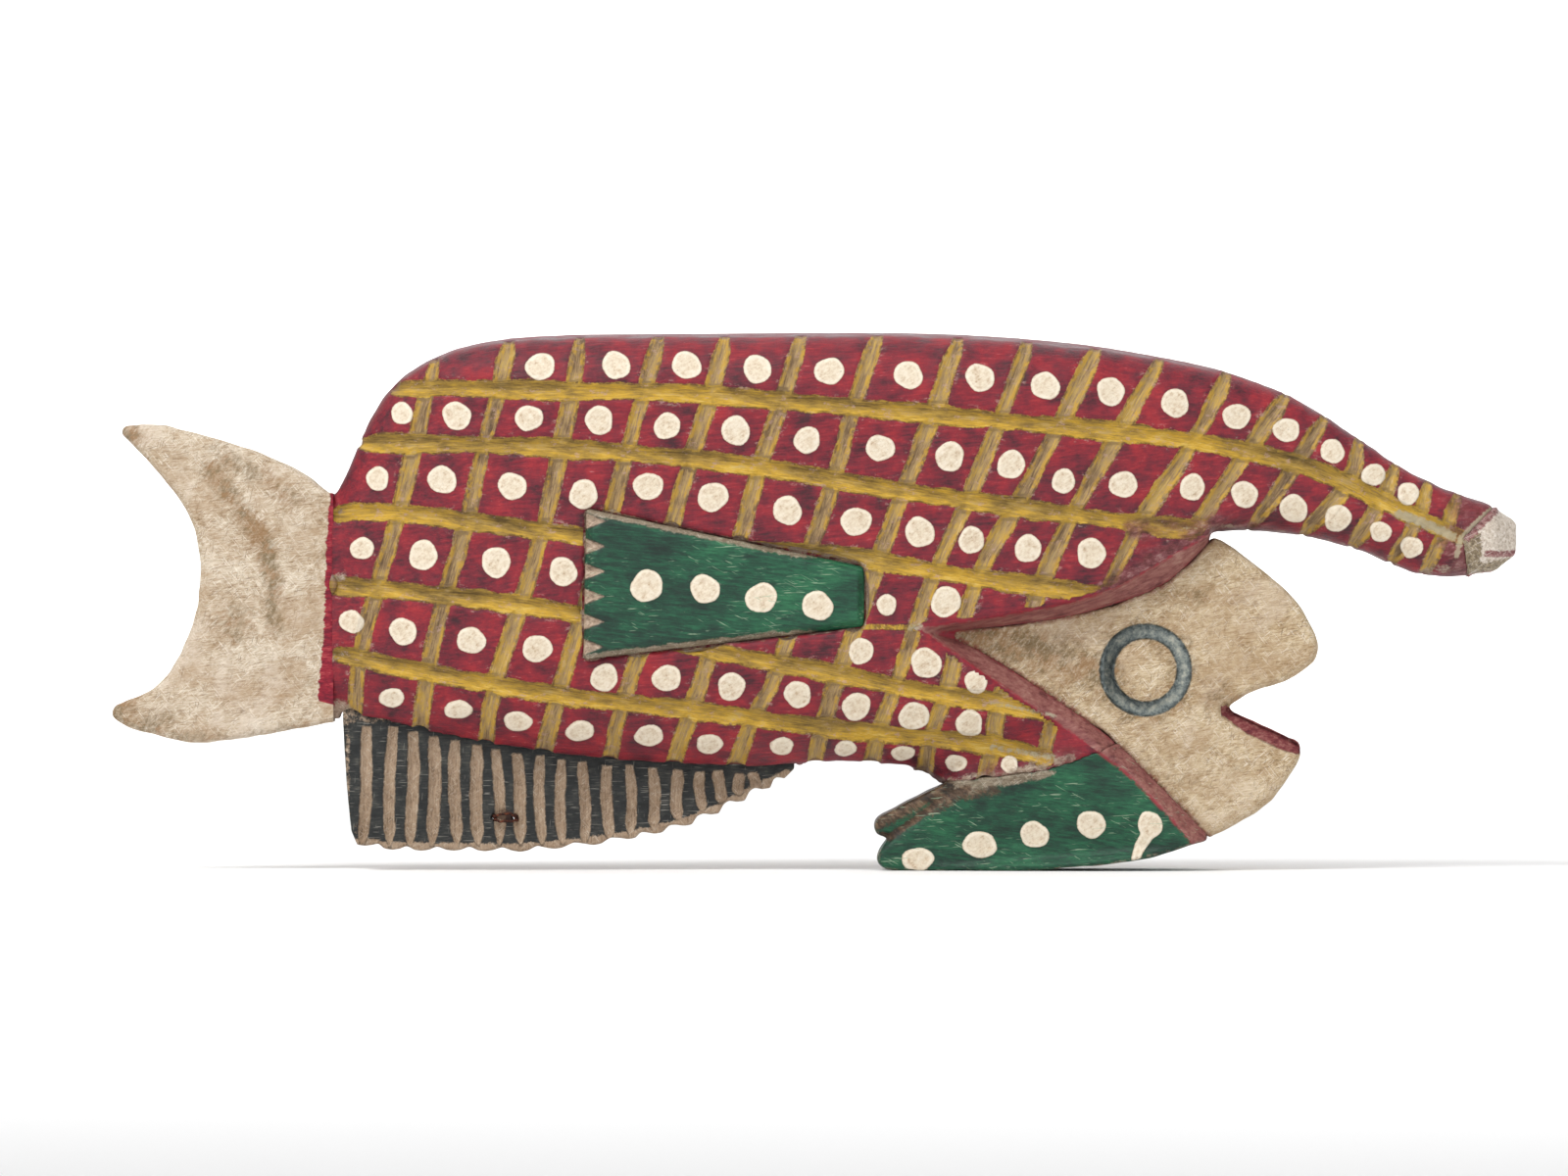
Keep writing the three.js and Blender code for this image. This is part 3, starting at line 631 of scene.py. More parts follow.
    def finish(self, colour, roughness, height, depth, gloss=0.3):
        """Joins the colour, roughness and relief (its full height in mm) to the surface."""
        bump = self.node(
            "ShaderNodeBump", inputs={"Strength": 1.0, "Distance": depth * MM, "Height": height}
        )
        surface = self.tree.nodes.new("ShaderNodeBsdfPrincipled")
        surface.inputs["Specular IOR Level"].default_value = gloss
        for socket, value in (("Base Color", colour), ("Roughness", roughness), ("Normal", bump)):
            self.plug(surface.inputs[socket], value)
        end = self.tree.nodes.new("ShaderNodeOutputMaterial")
        self.tree.links.new(surface.outputs[0], end.inputs[0])
        return self.material


def bare_wood(p, light, mid, dark, top="E3D9C9", grain_turn=0.12, scratched=0.6):
    """Limewashed, handled wood: short grain, rubbed pale, with brown patches and fine scratches."""
    grain = p.noise(0.5, 5, 0.7, (10, 1, 1), turn=grain_turn)
    blotch = p.noise(13, 6, 0.7, (1.6, 1, 1), 7)
    fleck = p.noise(1.8, 4, 0.8, (1.5, 1, 1), 3)
    tone = p.total((grain, 0.56), (blotch, 0.36), (fleck, 0.24))
    colour = p.ramp(tone, [(0.42, dark), (0.52, mid), (0.63, light), (0.76, top)])
    pale = p.hairs((0.3, 0.7, 0.63, 0.68), (0.32, -0.9, 0.64, 0.69, 5))
    colour = p.tint(colour, "E9E1D2", pale, scratched)
    brown = p.hairs((0.3, 0.25, 0.65, 0.69, 9), (0.28, 1.35, 0.66, 0.7, 12))
    return p.tint(colour, "634C35", brown, scratched), tone


def dab_paint(p, ragged):
    """Cream paint: where it lies, its colour and its mottle."""
    mottle = p.noise(2.2, 6, 0.75, shift=11)
    strokes = p.noise(0.7, 3, 0.6, (5, 1, 1), 13, 0.6)
    tone = p.total((mottle, 0.72), (strokes, 0.3))
    cream = p.ramp(tone, [(0.36, "A88E72"), (0.43, "C9B59B"), (0.52, "D8CAB3"), (0.66, "E4DAC9")])
    dot = p.layer("dot")
    cream = p.tint(cream, "ECE2D0", p.beside(dot, -0.8, 0.0, 0.9), 0.55)
    return p.inside(dot, 0.0, 0.2, ragged, 0.35), cream, mottle


def edge_line(p, colour, code, signed, width, share):
    """The colour with a broken thin line where a signed distance is near 0."""
    broken = p.between(p.noise(2.5, 4, 0.7, shift=26), 0.4, 0.58)
    return p.tint(colour, code, p.beside(signed, 0.0, 0.0, width), broken, share)


def gill_band(p, colour, ragged):
    """The dusty rose bevel round the gill: worn paint, lightened by a painted sheen where the slope catches
    the light, with a brighter red line along each side.
    """
    gill = p.layer("gill")
    tone = p.total((p.noise(1.5, 5, 0.7, (6, 1, 1), 31, 0.2), 0.6), (p.noise(9, 4, 0.6), 0.4))
    # worn dusty rose paint with a painted sheen over the bevel
    worn_rose_and_sheen = p.ramp(tone, [(0.36, "582C2C"), (0.47, "7D4845"), (0.57, "906058"), (0.7, "A78478")])
    colour = p.mix(p.inside(gill, 0.0, 0.3, ragged, 0.4), colour, worn_rose_and_sheen)
    return edge_line(p, colour, "8C1C2C", gill, 1.3, 0.85)


def worn_share(p, low, high, size=4.5, amount=1.3):
    """Where the paint is rubbed away."""
    return p.patchy("worn", p.noise(size, 6, 0.8, shift=40), amount, low, high)


def gouge_paint(p, red, ragged):
    """Ochre along the body and olive across it over the red. Also gives the distance to the nearest
    gouge's edge, where the gouges are, and the fine brush lines in them."""
    long_line, cross_line = p.layer("long_line"), p.layer("cross_line")
    groove = p.math("MINIMUM", long_line, cross_line)
    in_long = p.inside(long_line, 0.1, 0.25, ragged, 1.0)
    in_cross = p.inside(cross_line, 0.1, 0.25, ragged, 1.0)
    course = p.node("ShaderNodeCombineXYZ", inputs={0: p.layer("run"), 1: p.layer("across"), 2: 0.0})
    striae = p.noise(0.55, 4, 0.7, (16, 1, 1), 15, place=course)
    sweep = p.noise(3.2, 5, 0.7, (4, 1, 1), 17, place=course)
    shade = p.total((striae, 0.3), (sweep, 0.45), (p.noise(40, 3, 0.6, shift=18), 0.25))
    # painted light and shade: one wall of a long gouge is painted lighter and the other darker
    wall_shade = p.between(p.layer("across"), -3.0, 3.0, -0.03, 0.03)
    shade = p.math("MULTIPLY_ADD", wall_shade, in_long, shade)
    ochre = p.ramp(
        shade, [(0.37, "54421F"), (0.445, "84692F"), (0.505, "A38334"), (0.56, "C0982D"), (0.66, "D2B769")]
    )
    olive = p.ramp(
        shade, [(0.38, "4E3B29"), (0.45, "7F6647"), (0.505, "9C8258"), (0.56, "B59340"), (0.66, "CBB492")]
    )
    # the cross gouges keep brighter yellow along their edges, in broken strokes
    rim = p.beside(cross_line, -0.7, 0.5, 1.4)
    broken = p.between(p.noise(4.5, 4, 0.7, shift=24), 0.42, 0.55)
    olive = p.mix(p.multiply(rim, broken, 0.75), olive, p.mix(striae, rgb("A27A20"), rgb("CFA63C")))
    colour = p.mix(in_cross, red, olive)
    colour = p.mix(in_long, colour, ochre)
    # a grey dusting lies along the bottom of the gouges, and a broken dark line of painted shade runs along
    # each gouge's edge
    floor = p.between(groove, -3.6, -2.2, 1.0, 0.0)
    colour = p.tint(colour, "8E8068", floor, p.between(sweep, 0.5, 0.62), 0.45)
    edge_shade_breakup = p.between(p.noise(3.5, 4, 0.7, shift=22), 0.44, 0.56)
    colour = p.tint(colour, "4A2A1C", p.beside(groove, -0.2, 0.0, 0.7), edge_shade_breakup, 0.7)
    # pale chips and rubs beside the gouges
    chip = p.between(p.noise(2.6, 5, 0.8, (1.8, 1, 1), 21), 0.57, 0.64)
    colour = p.tint(colour, "AE8F84", p.between(groove, 0.1, 2.6, 1.0, 0.0), chip, 0.6)
    return colour, groove, p.math("MAXIMUM", in_long, in_cross), striae


def scales_material():
    p = Paint("painted_scales")
    streak = p.noise(1.1, 6, 0.75, (8, 1, 1), 2, 0.08)
    patch = p.noise(12, 5, 0.65, shift=5)
    speck = p.noise(0.8, 3, 0.8, shift=9)
    ragged = p.noise(1.6, 4, 0.75, shift=4)
    tone = p.total((streak, 0.45), (patch, 0.6))
    red = p.ramp(tone, [(0.4, "38101A"), (0.485, "621424"), (0.56, "7D1927"), (0.67, "9A242B")])
    red = p.tint(red, "A8797C", p.between(streak, 0.6, 0.72), p.between(patch, 0.48, 0.62), 0.6)
    colour, groove, in_groove, striae = gouge_paint(p, red, ragged)
    in_dot, cream, mottle = dab_paint(p, ragged)
    colour = p.mix(in_dot, colour, cream)
    colour = gill_band(p, colour, ragged)
    wood, _ = bare_wood(p, "A5927F", "84705C", "4F3D2A", "BDAE9D", 0.12, 0.3)
    colour = p.mix(p.multiply(worn_share(p, 0.46, 0.66), 0.9), colour, wood)
    # pale grey-olive dust, and along the bevel by the knob's collar a painted highlight
    dusty = p.patchy("dust", ragged, 1.0, 0.42, 0.7)
    colour = p.mix(p.multiply(dusty, 0.85), colour, p.mix(ragged, rgb("8C8266"), rgb("B5AC96")))
    # handling has dulled the handle's end and the root of the handle over the head
    dusk_tone = p.noise(2.4, 6, 0.8, (2.5, 1, 1), 93, 0.3)
    dusk = p.ramp(dusk_tone, [(0.36, "301A16"), (0.46, "582B2B"), (0.55, "754244"), (0.68, "A0807A")])
    open_red = p.math("SUBTRACT", 1.0, p.math("MAXIMUM", p.multiply(in_dot, 0.8), dusty))
    colour = p.mix(p.multiply(p.patchy("dusk", patch, 1.6, 0.25, 0.75), open_red, 0.85), colour, dusk)
    # painted shade: the back and belly are darkened towards dark mauve where they turn away from the side,
    # and nothing is painted inside
    colour = p.tint(colour, "5B3A40", p.between(p.layer("outer"), 0.35, 0.85, 0.5, 0.0))
    colour = p.tint(colour, "8C6B48", p.between(p.layer("hollow"), 0.45, 0.55))
    colour = p.tint(colour, "C9B8A6", p.between(speck, 0.7, 0.77), 0.5)
    nick = p.between(p.noise(0.9, 3, 0.8, shift=29), 0.29, 0.35, 1.0, 0.0)
    colour = p.tint(colour, "3A2218", nick, 0.6)

    roughness = p.between(p.total((in_groove, 0.25), (patch, 1.0)), 0.2, 0.9, 0.36, 0.68)
    relief = p.total((streak, 0.55), (speck, 0.25), (p.multiply(in_dot, mottle), 0.9))
    relief = p.math("MULTIPLY_ADD", p.multiply(in_groove, striae), 0.8, relief)
    relief = p.math("ADD", relief, p.between(groove, -3.6, 0.2, -1.6, 0.0))
    return p.finish(colour, roughness, relief, 0.6, 0.35)


def green_material():
    p = Paint("green_fin_paint")
    streak = p.noise(1.0, 6, 0.75, (9, 1, 1), 2, -0.1)
    patch = p.noise(14, 5, 0.65, (1.5, 1, 1), 5)
    speck = p.noise(0.8, 3, 0.8, shift=9)
    ragged = p.noise(1.6, 4, 0.75, shift=4)
    tone = p.total((streak, 0.58), (patch, 0.45), (p.layer("bright"), 0.08))
    green = p.ramp(tone, [(0.4, "052018"), (0.49, "093626"), (0.57, "104C33"), (0.7, "276A45")])
    wood, _ = bare_wood(p, "8D7F6B", "6B5C4A", "3A2E22", "A69A86", 0.12, 0.3)
    colour = p.mix(p.multiply(worn_share(p, 0.4, 0.62), 0.92), green, wood)
    rust_tone = p.noise(3, 5, 0.75, (2.5, 1, 1), 33, -0.5)
    rust = p.ramp(rust_tone, [(0.38, "231A12"), (0.5, "43301F"), (0.62, "6E5640")])
    colour = p.mix(p.patchy("brown", ragged, 0.9, 0.35, 0.65), colour, rust)
    notch_tone = p.noise(1.4, 5, 0.75, (3, 1, 1), 35)
    notch_wood = p.ramp(notch_tone, [(0.36, "6E5B49"), (0.5, "9C8672"), (0.64, "BDAA96")])
    notch = p.layer("notch")
    colour = p.mix(p.inside(notch, 0.0, 0.25, ragged, 0.4), colour, notch_wood)
    colour = edge_line(p, colour, "2B241C", notch, 0.8, 0.7)
    in_dot, cream, mottle = dab_paint(p, ragged)
    colour = p.mix(in_dot, colour, cream)
    colour = gill_band(p, colour, ragged)
    line = p.hairs((0.5, 0.05, 0.68, 0.72, 50), (0.45, -0.5, 0.7, 0.74, 52))
    colour = p.tint(colour, "93A98C", line, p.between(patch, 0.46, 0.56), 0.6)
    colour = p.tint(colour, "B9B39B", p.between(speck, 0.7, 0.76), 0.45)
    roughness = p.between(patch, 0.2, 0.9, 0.36, 0.62)
    relief = p.total((streak, 0.6), (speck, 0.2), (p.multiply(in_dot, mottle), 0.9))
    return p.finish(colour, roughness, relief, 0.5, 0.4)


def limewashed(name, dirt_and_shade_colour, washed_share, shades):
    """Bare carved wood under worn limewash, darkened where the layer of stains and shade says: stains and
    grime, and on the head a painted shade along the gill band's foot.
    """
    p = Paint(name)
    colour, tone = bare_wood(p, *shades)
    broad = p.between(p.noise(20, 6, 0.7, (1.4, 1, 1), 62, 0.3), 0.42, 0.62)
    colour = p.tint(colour, "9C7F5E", broad, 0.45)
    washed = p.between(p.noise(26, 6, 0.7, (1.2, 1, 1), 64, 0.8), 0.5, 0.62)
    colour = p.tint(colour, "D5C8B9", washed, washed_share)
    clouds = p.math("SUBTRACT", p.noise(9, 6, 0.75, (1.3, 1, 1), 60, 0.5), 0.5)
    streak_breakup = p.math("SUBTRACT", p.noise(1.6, 4, 0.8, (3, 1, 1), 63, 0.9), 0.5)
    stain = p.total((p.layer("stain"), 1.0), (streak_breakup, 1.4), (clouds, 2.2))
    dirt_and_shade = p.mix(p.between(p.noise(8, 4, 0.7, shift=66), 0.44, 0.56), rgb(dirt_and_shade_colour), rgb("84623D"))
    fibre = p.between(streak_breakup, -0.14, 0.1, 0.55, 1.0)
    colour = p.mix(p.multiply(p.between(stain, 0.2, 1.2), fibre, 0.86), colour, dirt_and_shade)
    pits = p.between(p.noise(1.1, 4, 0.85, shift=80), 0.3, 0.37, 1.0, 0.0)
    return p, p.tint(colour, "6A5238", pits, 0.65), tone


def head_material():
    shades = ("CBB99B", "AA9270", "664C2E", "DDD0B9")
    p, colour, tone = limewashed("limewashed_head", "66502F", 0.2, shades)
    ragged = p.noise(1.8, 4, 0.75, shift=4)
    eye, lip = p.layer("eye"), p.layer("lip")
    # the blue-grey ring is painted darker towards its edges and lighter along its middle, painted shade and
    # highlight as on a rounded bead, with a broken dark line of painted shade round its edges
    ring_tone_and_shade = p.total((p.noise(2.2, 5, 0.75, shift=70), 0.7), (p.between(eye, -3.0, 0.0), -0.14))
    blue = p.ramp(ring_tone_and_shade, [(0.14, "343B3A"), (0.24, "586060"), (0.33, "7B817C"), (0.44, "A6A699")])
    colour = p.mix(p.inside(eye, 0.1, 0.35, ragged, 0.5), colour, blue)
    colour = edge_line(p, colour, "2A2A22", p.math("ADD", eye, 0.1), 0.8, 0.8)
    lip_tone = p.noise(2.0, 5, 0.75, (4, 1, 1), 71, 0.4)
    red = p.ramp(lip_tone, [(0.36, "51222A"), (0.5, "753638"), (0.66, "97655E")])
    colour = p.mix(p.inside(lip, 0.0, 0.35, ragged, 0.6), colour, red)
    colour = edge_line(p, colour, "5A3A2C", lip, 0.9, 0.7)
    by_gill = p.between(p.layer("gill"), 0.1, 1.8, 1.0, 0.0)
    colour = p.tint(colour, "7E2630", by_gill, p.between(p.noise(2.2, 4, 0.7, shift=72), 0.42, 0.56), 0.9)
    colour = p.tint(colour, "9A4A40", p.between(p.noise(1.6, 4, 0.8, shift=73), 0.72, 0.78), 0.5)
    return p.finish(colour, p.between(tone, 0.3, 0.8, 0.6, 0.78), tone, 0.6, 0.25)


def tail_material():
    shades = ("C7B9A5", "A9947A", "6A5239", "DCD2C2")
    p, colour, tone = limewashed("limewashed_tail", "6C5A3C", 0.36, shades)
    ragged = p.noise(2.2, 5, 0.75, (2.5, 1, 1), 61)
    red_tone = p.noise(1.6, 5, 0.75, (4, 1, 1), 2)
    red = p.ramp(red_tone, [(0.38, "5E1626"), (0.52, "861B2C"), (0.68, "A8484A")])
    colour = p.mix(p.inside(p.layer("spill"), 0.0, 0.3, ragged, 2.2), colour, red)
    return p.finish(colour, p.between(tone, 0.3, 0.8, 0.58, 0.78), tone, 0.6, 0.25)


def rasp_material():
    p = Paint("black_rasp")
    ragged = p.noise(1.3, 5, 0.8, shift=4)
    streak = p.noise(0.7, 5, 0.75, (9, 1, 1), 2)
    tone = p.total((streak, 0.55), (p.noise(6, 4, 0.6), 0.45))
    black = p.ramp(tone, [(0.38, "0A0C0C"), (0.49, "1C1F1F"), (0.57, "30312E"), (0.69, "5A564D")])
    black = p.tint(black, "8E8A82", p.hairs((0.45, 0.0, 0.66, 0.7, 50), (0.45, 1.5, 0.72, 0.76, 52)), 0.55)
    black = p.tint(black, "B4AFA5", p.between(p.noise(1.0, 5, 0.9, shift=33), 0.63, 0.7), 0.7)
    wood, wood_tone = bare_wood(p, "A38D76", "88725C", "53402F", "B8A590", 1.5, 0.25)
    flute = p.layer("flute")
    in_flute = p.inside(flute, 0.0, 0.25, ragged, 0.7)
    bare = p.math("MAXIMUM", in_flute, worn_share(p, 0.42, 0.58, 3, 1.0))
    colour = p.mix(bare, black, wood)
    colour = edge_line(p, colour, "17130F", flute, 0.6, 0.6)
    colour = p.tint(colour, "3B1F13", p.patchy("rust", ragged, 1.2, 0.45, 0.75), 0.8)
    relief = p.total((streak, 0.6), (wood_tone, 0.5))
    return p.finish(colour, p.between(bare, 0.0, 1.0, 0.48, 0.75), relief, 0.6, 0.35)


def knob_material():
    p = Paint("white_knob")
    ragged = p.noise(1.7, 6, 0.8, shift=4)
    mottle = p.noise(1.3, 6, 0.85, shift=90)
    tan_tone, red_tone = p.noise(1.4, 6, 0.8, shift=92), p.noise(1.5, 6, 0.8, (2, 1, 1), 91)
    white = p.ramp(mottle, [(0.36, "86735F"), (0.44, "BCAC9A"), (0.53, "D6CABC"), (0.64, "E9E2D9")])
    tan = p.ramp(tan_tone, [(0.38, "5A4A3A"), (0.48, "857459"), (0.56, "9C8C70"), (0.68, "C9BCA6")])
    red = p.ramp(red_tone, [(0.37, "54292A"), (0.47, "834A49"), (0.56, "9F7370"), (0.67, "C4A79F")])
    colour = p.mix(p.patchy("tan", ragged, 1.7, 0.4, 0.62), white, tan)
    colour = p.mix(p.patchy("red", ragged, 1.7, 0.42, 0.62), colour, red)
    colour = p.tint(colour, "E2D8CC", p.hairs((0.4, 0.5, 0.64, 0.69, 9), (0.35, -0.8, 0.65, 0.7, 12)), 0.5)
    roughness = p.between(mottle, 0.3, 0.7, 0.34, 0.5)
    return p.finish(colour, roughness, p.math("ADD", mottle, ragged), 0.5, 0.45)


def simple_wood_material():
    p = Paint("dowel_wood")
    colour, tone = bare_wood(p, "C9A878", "A9834F", "7D5A33")
    return p.finish(colour, 0.8, tone, 0.4, 0.2)


def rust_material():
    p = Paint("rusted_wire")
    rust = p.noise(0.9, 5, 0.75)
    colour = p.ramp(rust, [(0.36, "140B08"), (0.5, "3C1C12"), (0.6, "6A3620"), (0.72, "96643F")])
    return p.finish(colour, 0.85, rust, 0.3, 0.3)


# ---------------------------------------------------------------- pieces
def form_shell(skin):
    """Gives a shell its smooth flank and closes its joints. Returns which points are on the flank,
    how far each faced sideways at first, and the body's half thickness there."""
    flank_y = body_half(skin.x, skin.z)
    gap = flank_y - skin.out
    facing = skin.facing()
    by_pelvic = (skin.x > 26) & (within(gill_outline(GILL_UPPER_EDGE, GILL_LOWER_EDGE), skin.x, skin.z) > 1)
    near = np.where(by_pelvic & (skin.z < 84), 2.8, 1.0)
    ledge = (np.abs(skin.x - 55) < 9) & (skin.z > 38) & (skin.z < 52) & (skin.out > 12)
    near = np.where(ledge, 8.0, near)
    on_flank = (np.abs(gap) * np.maximum(facing, 0.25) < near) & (skin.out > 0.9)
    drawn_in = 1.4 * smoothstep(-skin.x, 182, -REAR_X)
    skin.push_out(np.where(on_flank, (gap - drawn_in) * np.clip(facing * 1.6 - 0.25, 0, 1), 0))
    by_fin, by_knob = skin.near([(50, 36)] + PELVIC_JOINT[2:]), skin.near(COLLAR)
    skin.relax(4, np.clip(np.minimum(np.minimum(by_fin, by_knob), skin.x - REAR_X + 1) / 4, 0.15, 1))
    skin.push_out(JOINT_SWELL * bell(by_fin, JOINT_SPREAD) * on_flank)
    rear = (skin.x < REAR_X + 1.4) & (skin.z > 59) & (skin.z < 154)
    skin.points[:, 0] = np.where(rear, REAR_X - 0.1, skin.x)
    skin.lift(0.6 * smoothstep(1.6 - by_fin, 0, 1.2) * (facing < 0.8))
    skin.points[:, 2] -= level(SKIRT, skin.x) * smoothstep(along(BELLY, skin.x) - skin.z, -18, -1)
    return on_flank, facing, flank_y


def gouge(signed, half, depth):
    """How deep a round-bottomed gouge is at a signed distance from its edge."""
    return depth * np.clip(1 - ((signed + half) / half) ** 2, 0, 1) * (signed < 0)


def body_shell(side_name, seed):
    skin = Skin(f"body_shell_{side_name}", f"painted_body_{side_name}", 1.4)
    on_flank, facing, flank_y = form_shell(skin)
    x, z = skin.x, skin.z
    outer = smoothstep(skin.spread(on_flank.astype(float), 2), 0.3, 0.8)

    long_line, cross_line, across, run = lattice(x, z)
    fin = within(PECTORAL, x, z)
    upper = distance(spline(GILL_UPPER_EDGE), x, z)
    ahead = within(gill_outline(GILL_UPPER_EDGE, GILL_LOWER_EDGE), x, z)
    beyond = within(gill_outline(GILL_UPPER_FOOT, GILL_LOWER_FOOT), x, z)
    gill = np.where(x > 166, FAR, np.maximum(ahead, -beyond))
    # the lattice stops at the flank's edges and at the gill
    clear = np.where(outer > 0.5, 0.0, HIDDEN) + np.where(ahead < 0.8, HIDDEN, 0.0)
    long_line, cross_line = long_line + clear, cross_line + clear

    cut = np.maximum(gouge(long_line, LINE_HALF, LINE_DEPTH), gouge(cross_line, CROSS_HALF, CROSS_DEPTH))
    rng = np.random.default_rng(seed)
    dots = cell_dots(rng) + [(x0, z0, r, r) for x0, z0, r in CHEEK_DOTS + HANDLE_DOTS]
    dot = dabs(dots, x, z, rng) + clear
    lip = 0.25 * bell(np.minimum(long_line, cross_line) - 0.7, 0.8)
    hand = 0.25 * wobble(x, z, 30, 8) + 0.12 * wobble(x, z, 9, 9)
    skin.lift((-cut + (lip + hand) * (outer > 0.5) + paint_film(dot) * (outer > 0.5)) * outer)
    skin.relax(1)

    # rubbed to the wood round the edges, by the tail and where the pelvic fins join
    worn = marks(x, z, bands=[
        ([(52, 36), (66, 38), (84, 40.5), (98, 44), (104, 46)], 3.6, 0.66),
        ([(88, 44), (96, 47), (103, 50)], 3.0, 0.5),
        ([(0, 42.4), (20, 42.6), (42, 40.4), (54, 36.8)], 2.2, 0.5),
        ([(-192, 60), (-174, 57), (-158, 55), (-133, 50.6), (-100, 46), (-56, 42)], 1.6, 0.4),
        (spline(BACK), 1.2, 0.1),
        (spline(UNDERSIDE), 2.2, 0.55),
        ([(-197, 119), (-191, 120)], 3, 0.62),
        ([(-197, 86), (-191, 88)], 3, 0.58),
        ([(-196, 142), (-192, 147)], 2.6, 0.55),
        ([(248, 122), (262, 123), (266, 130)], 5, 0.56),
        ([(160, 140), (176, 139.4)], 2.4, 0.6),
    ], spots=[(-194, 63, 9, 8, 0.9)])
    worn = np.maximum(worn, 0.6 * bell(fin, 1.5))
    # pale dust; the first band, along the bevel by the knob's collar, is a painted highlight
    dust = marks(x, z, bands=[
        ([(261.5, 128), (263, 134.5), (268.5, 140.5), (276, 147)], 1.9, 0.85),
        ([(238, 145), (248, 141.5), (260, 136)], 2.6, 0.9),
        ([(39, 98.8), (43, 99.2)], 2.2, 0.7),
        ([(72, 68.4), (98, 63)], 1.9, 0.6),
        ([(72, 50.6), (98, 46)], 2.3, 0.66),
        ([(150, 139.4), (164, 138.8)], 2.2, 0.5),
    ])
    dusk = marks(x, z, bands=[
        ([(130, 139), (158, 141), (186, 139)], 6, 0.6),
        ([(-188, 172), (-172, 199), (-158, 209)], 4, 0.5),
        ([(56, 39), (84, 42), (104, 47)], 6, 0.45),
    ])
    handle_dusk = smoothstep(x, 246, 266) * np.interp(z, [132, 146], [0.85, 0.45])
    gill_dusk = bell(upper, 8) * 0.85 * smoothstep(x, 104, 122) * (ahead > 0)
    dusk = np.maximum.reduce([dusk, handle_dusk, gill_dusk])
    # the chamber's walls, well inside the painted outline
    hollow = (~on_flank) & (gill > 2.5) & (skin.out < flank_y - 2.5) & (skin.out < 30) & (x < 150)
    hollow &= (z < along(BACK, x) - 7) & ((z > along(BELLY, x) + 4) | ((x > -6) & (x < 44)))
    skin.paint(
        dusk=dusk, dust=dust, long_line=long_line, cross_line=cross_line, across=across, run=run,
        dot=dot, gill=gill, worn=worn, outer=skin.spread(np.clip(facing * 2.2, 0, 1), 3),
        hollow=skin.spread(hollow.astype(float), 1),
    )
    return skin.write(SCALES, "scales")


def pectoral_notch(x, z):
    """Signed distance to the chip-carved notches in the fin's rear end."""
    top, low = np.array(PECTORAL[0]), np.array(PECTORAL[1])
    signed = np.full(x.shape, np.inf)
    for i in range(PECTORAL_NOTCHES):
        first, middle, last = (top + (low - top) * (i + s) / PECTORAL_NOTCHES for s in (0.1, 0.5, 0.9))
        tooth = np.array([first - (2, 0), middle + (8.4, 0), last - (2, 0)])
        signed = np.minimum(signed, within(tooth, x, z))
    return signed


def pectoral_fin(side_name, seed):
    skin = Skin(f"pectoral_fin_{side_name}", f"green_pectoral_{side_name}", 0.8)
    skin.relax(3)
    x, z = skin.x, skin.z
    rng = np.random.default_rng(seed)
    inner = np.where(skin.out < 33.5, HIDDEN, 0)
    dot = dabs([(a, b, r, r * 0.97) for a, b, r in PECTORAL_DOTS], x, z, rng) + inner
    hand = 0.2 * wobble(x, z, 24, 18) + 0.1 * wobble(x, z, 8, 19)
    skin.lift(np.where(skin.out > 34, hand + paint_film(dot), 0))
    notch = pectoral_notch(x, z)
    long_edge = np.minimum(distance(PECTORAL[::3], x, z), distance(PECTORAL[1:3], x, z))
    worn = bell(long_edge, 3.2) * 0.72 * smoothstep(-x, -14, 20)
    worn = worn + 0.25 * bell(within(PECTORAL, x, z), 1.6)
    skin.paint(
        dot=dot, notch=notch, worn=worn, bright=smoothstep(x, -60, 20), brown=0 * x, gill=0 * x + FAR
    )
    return skin.write(GREEN, "fin_green")


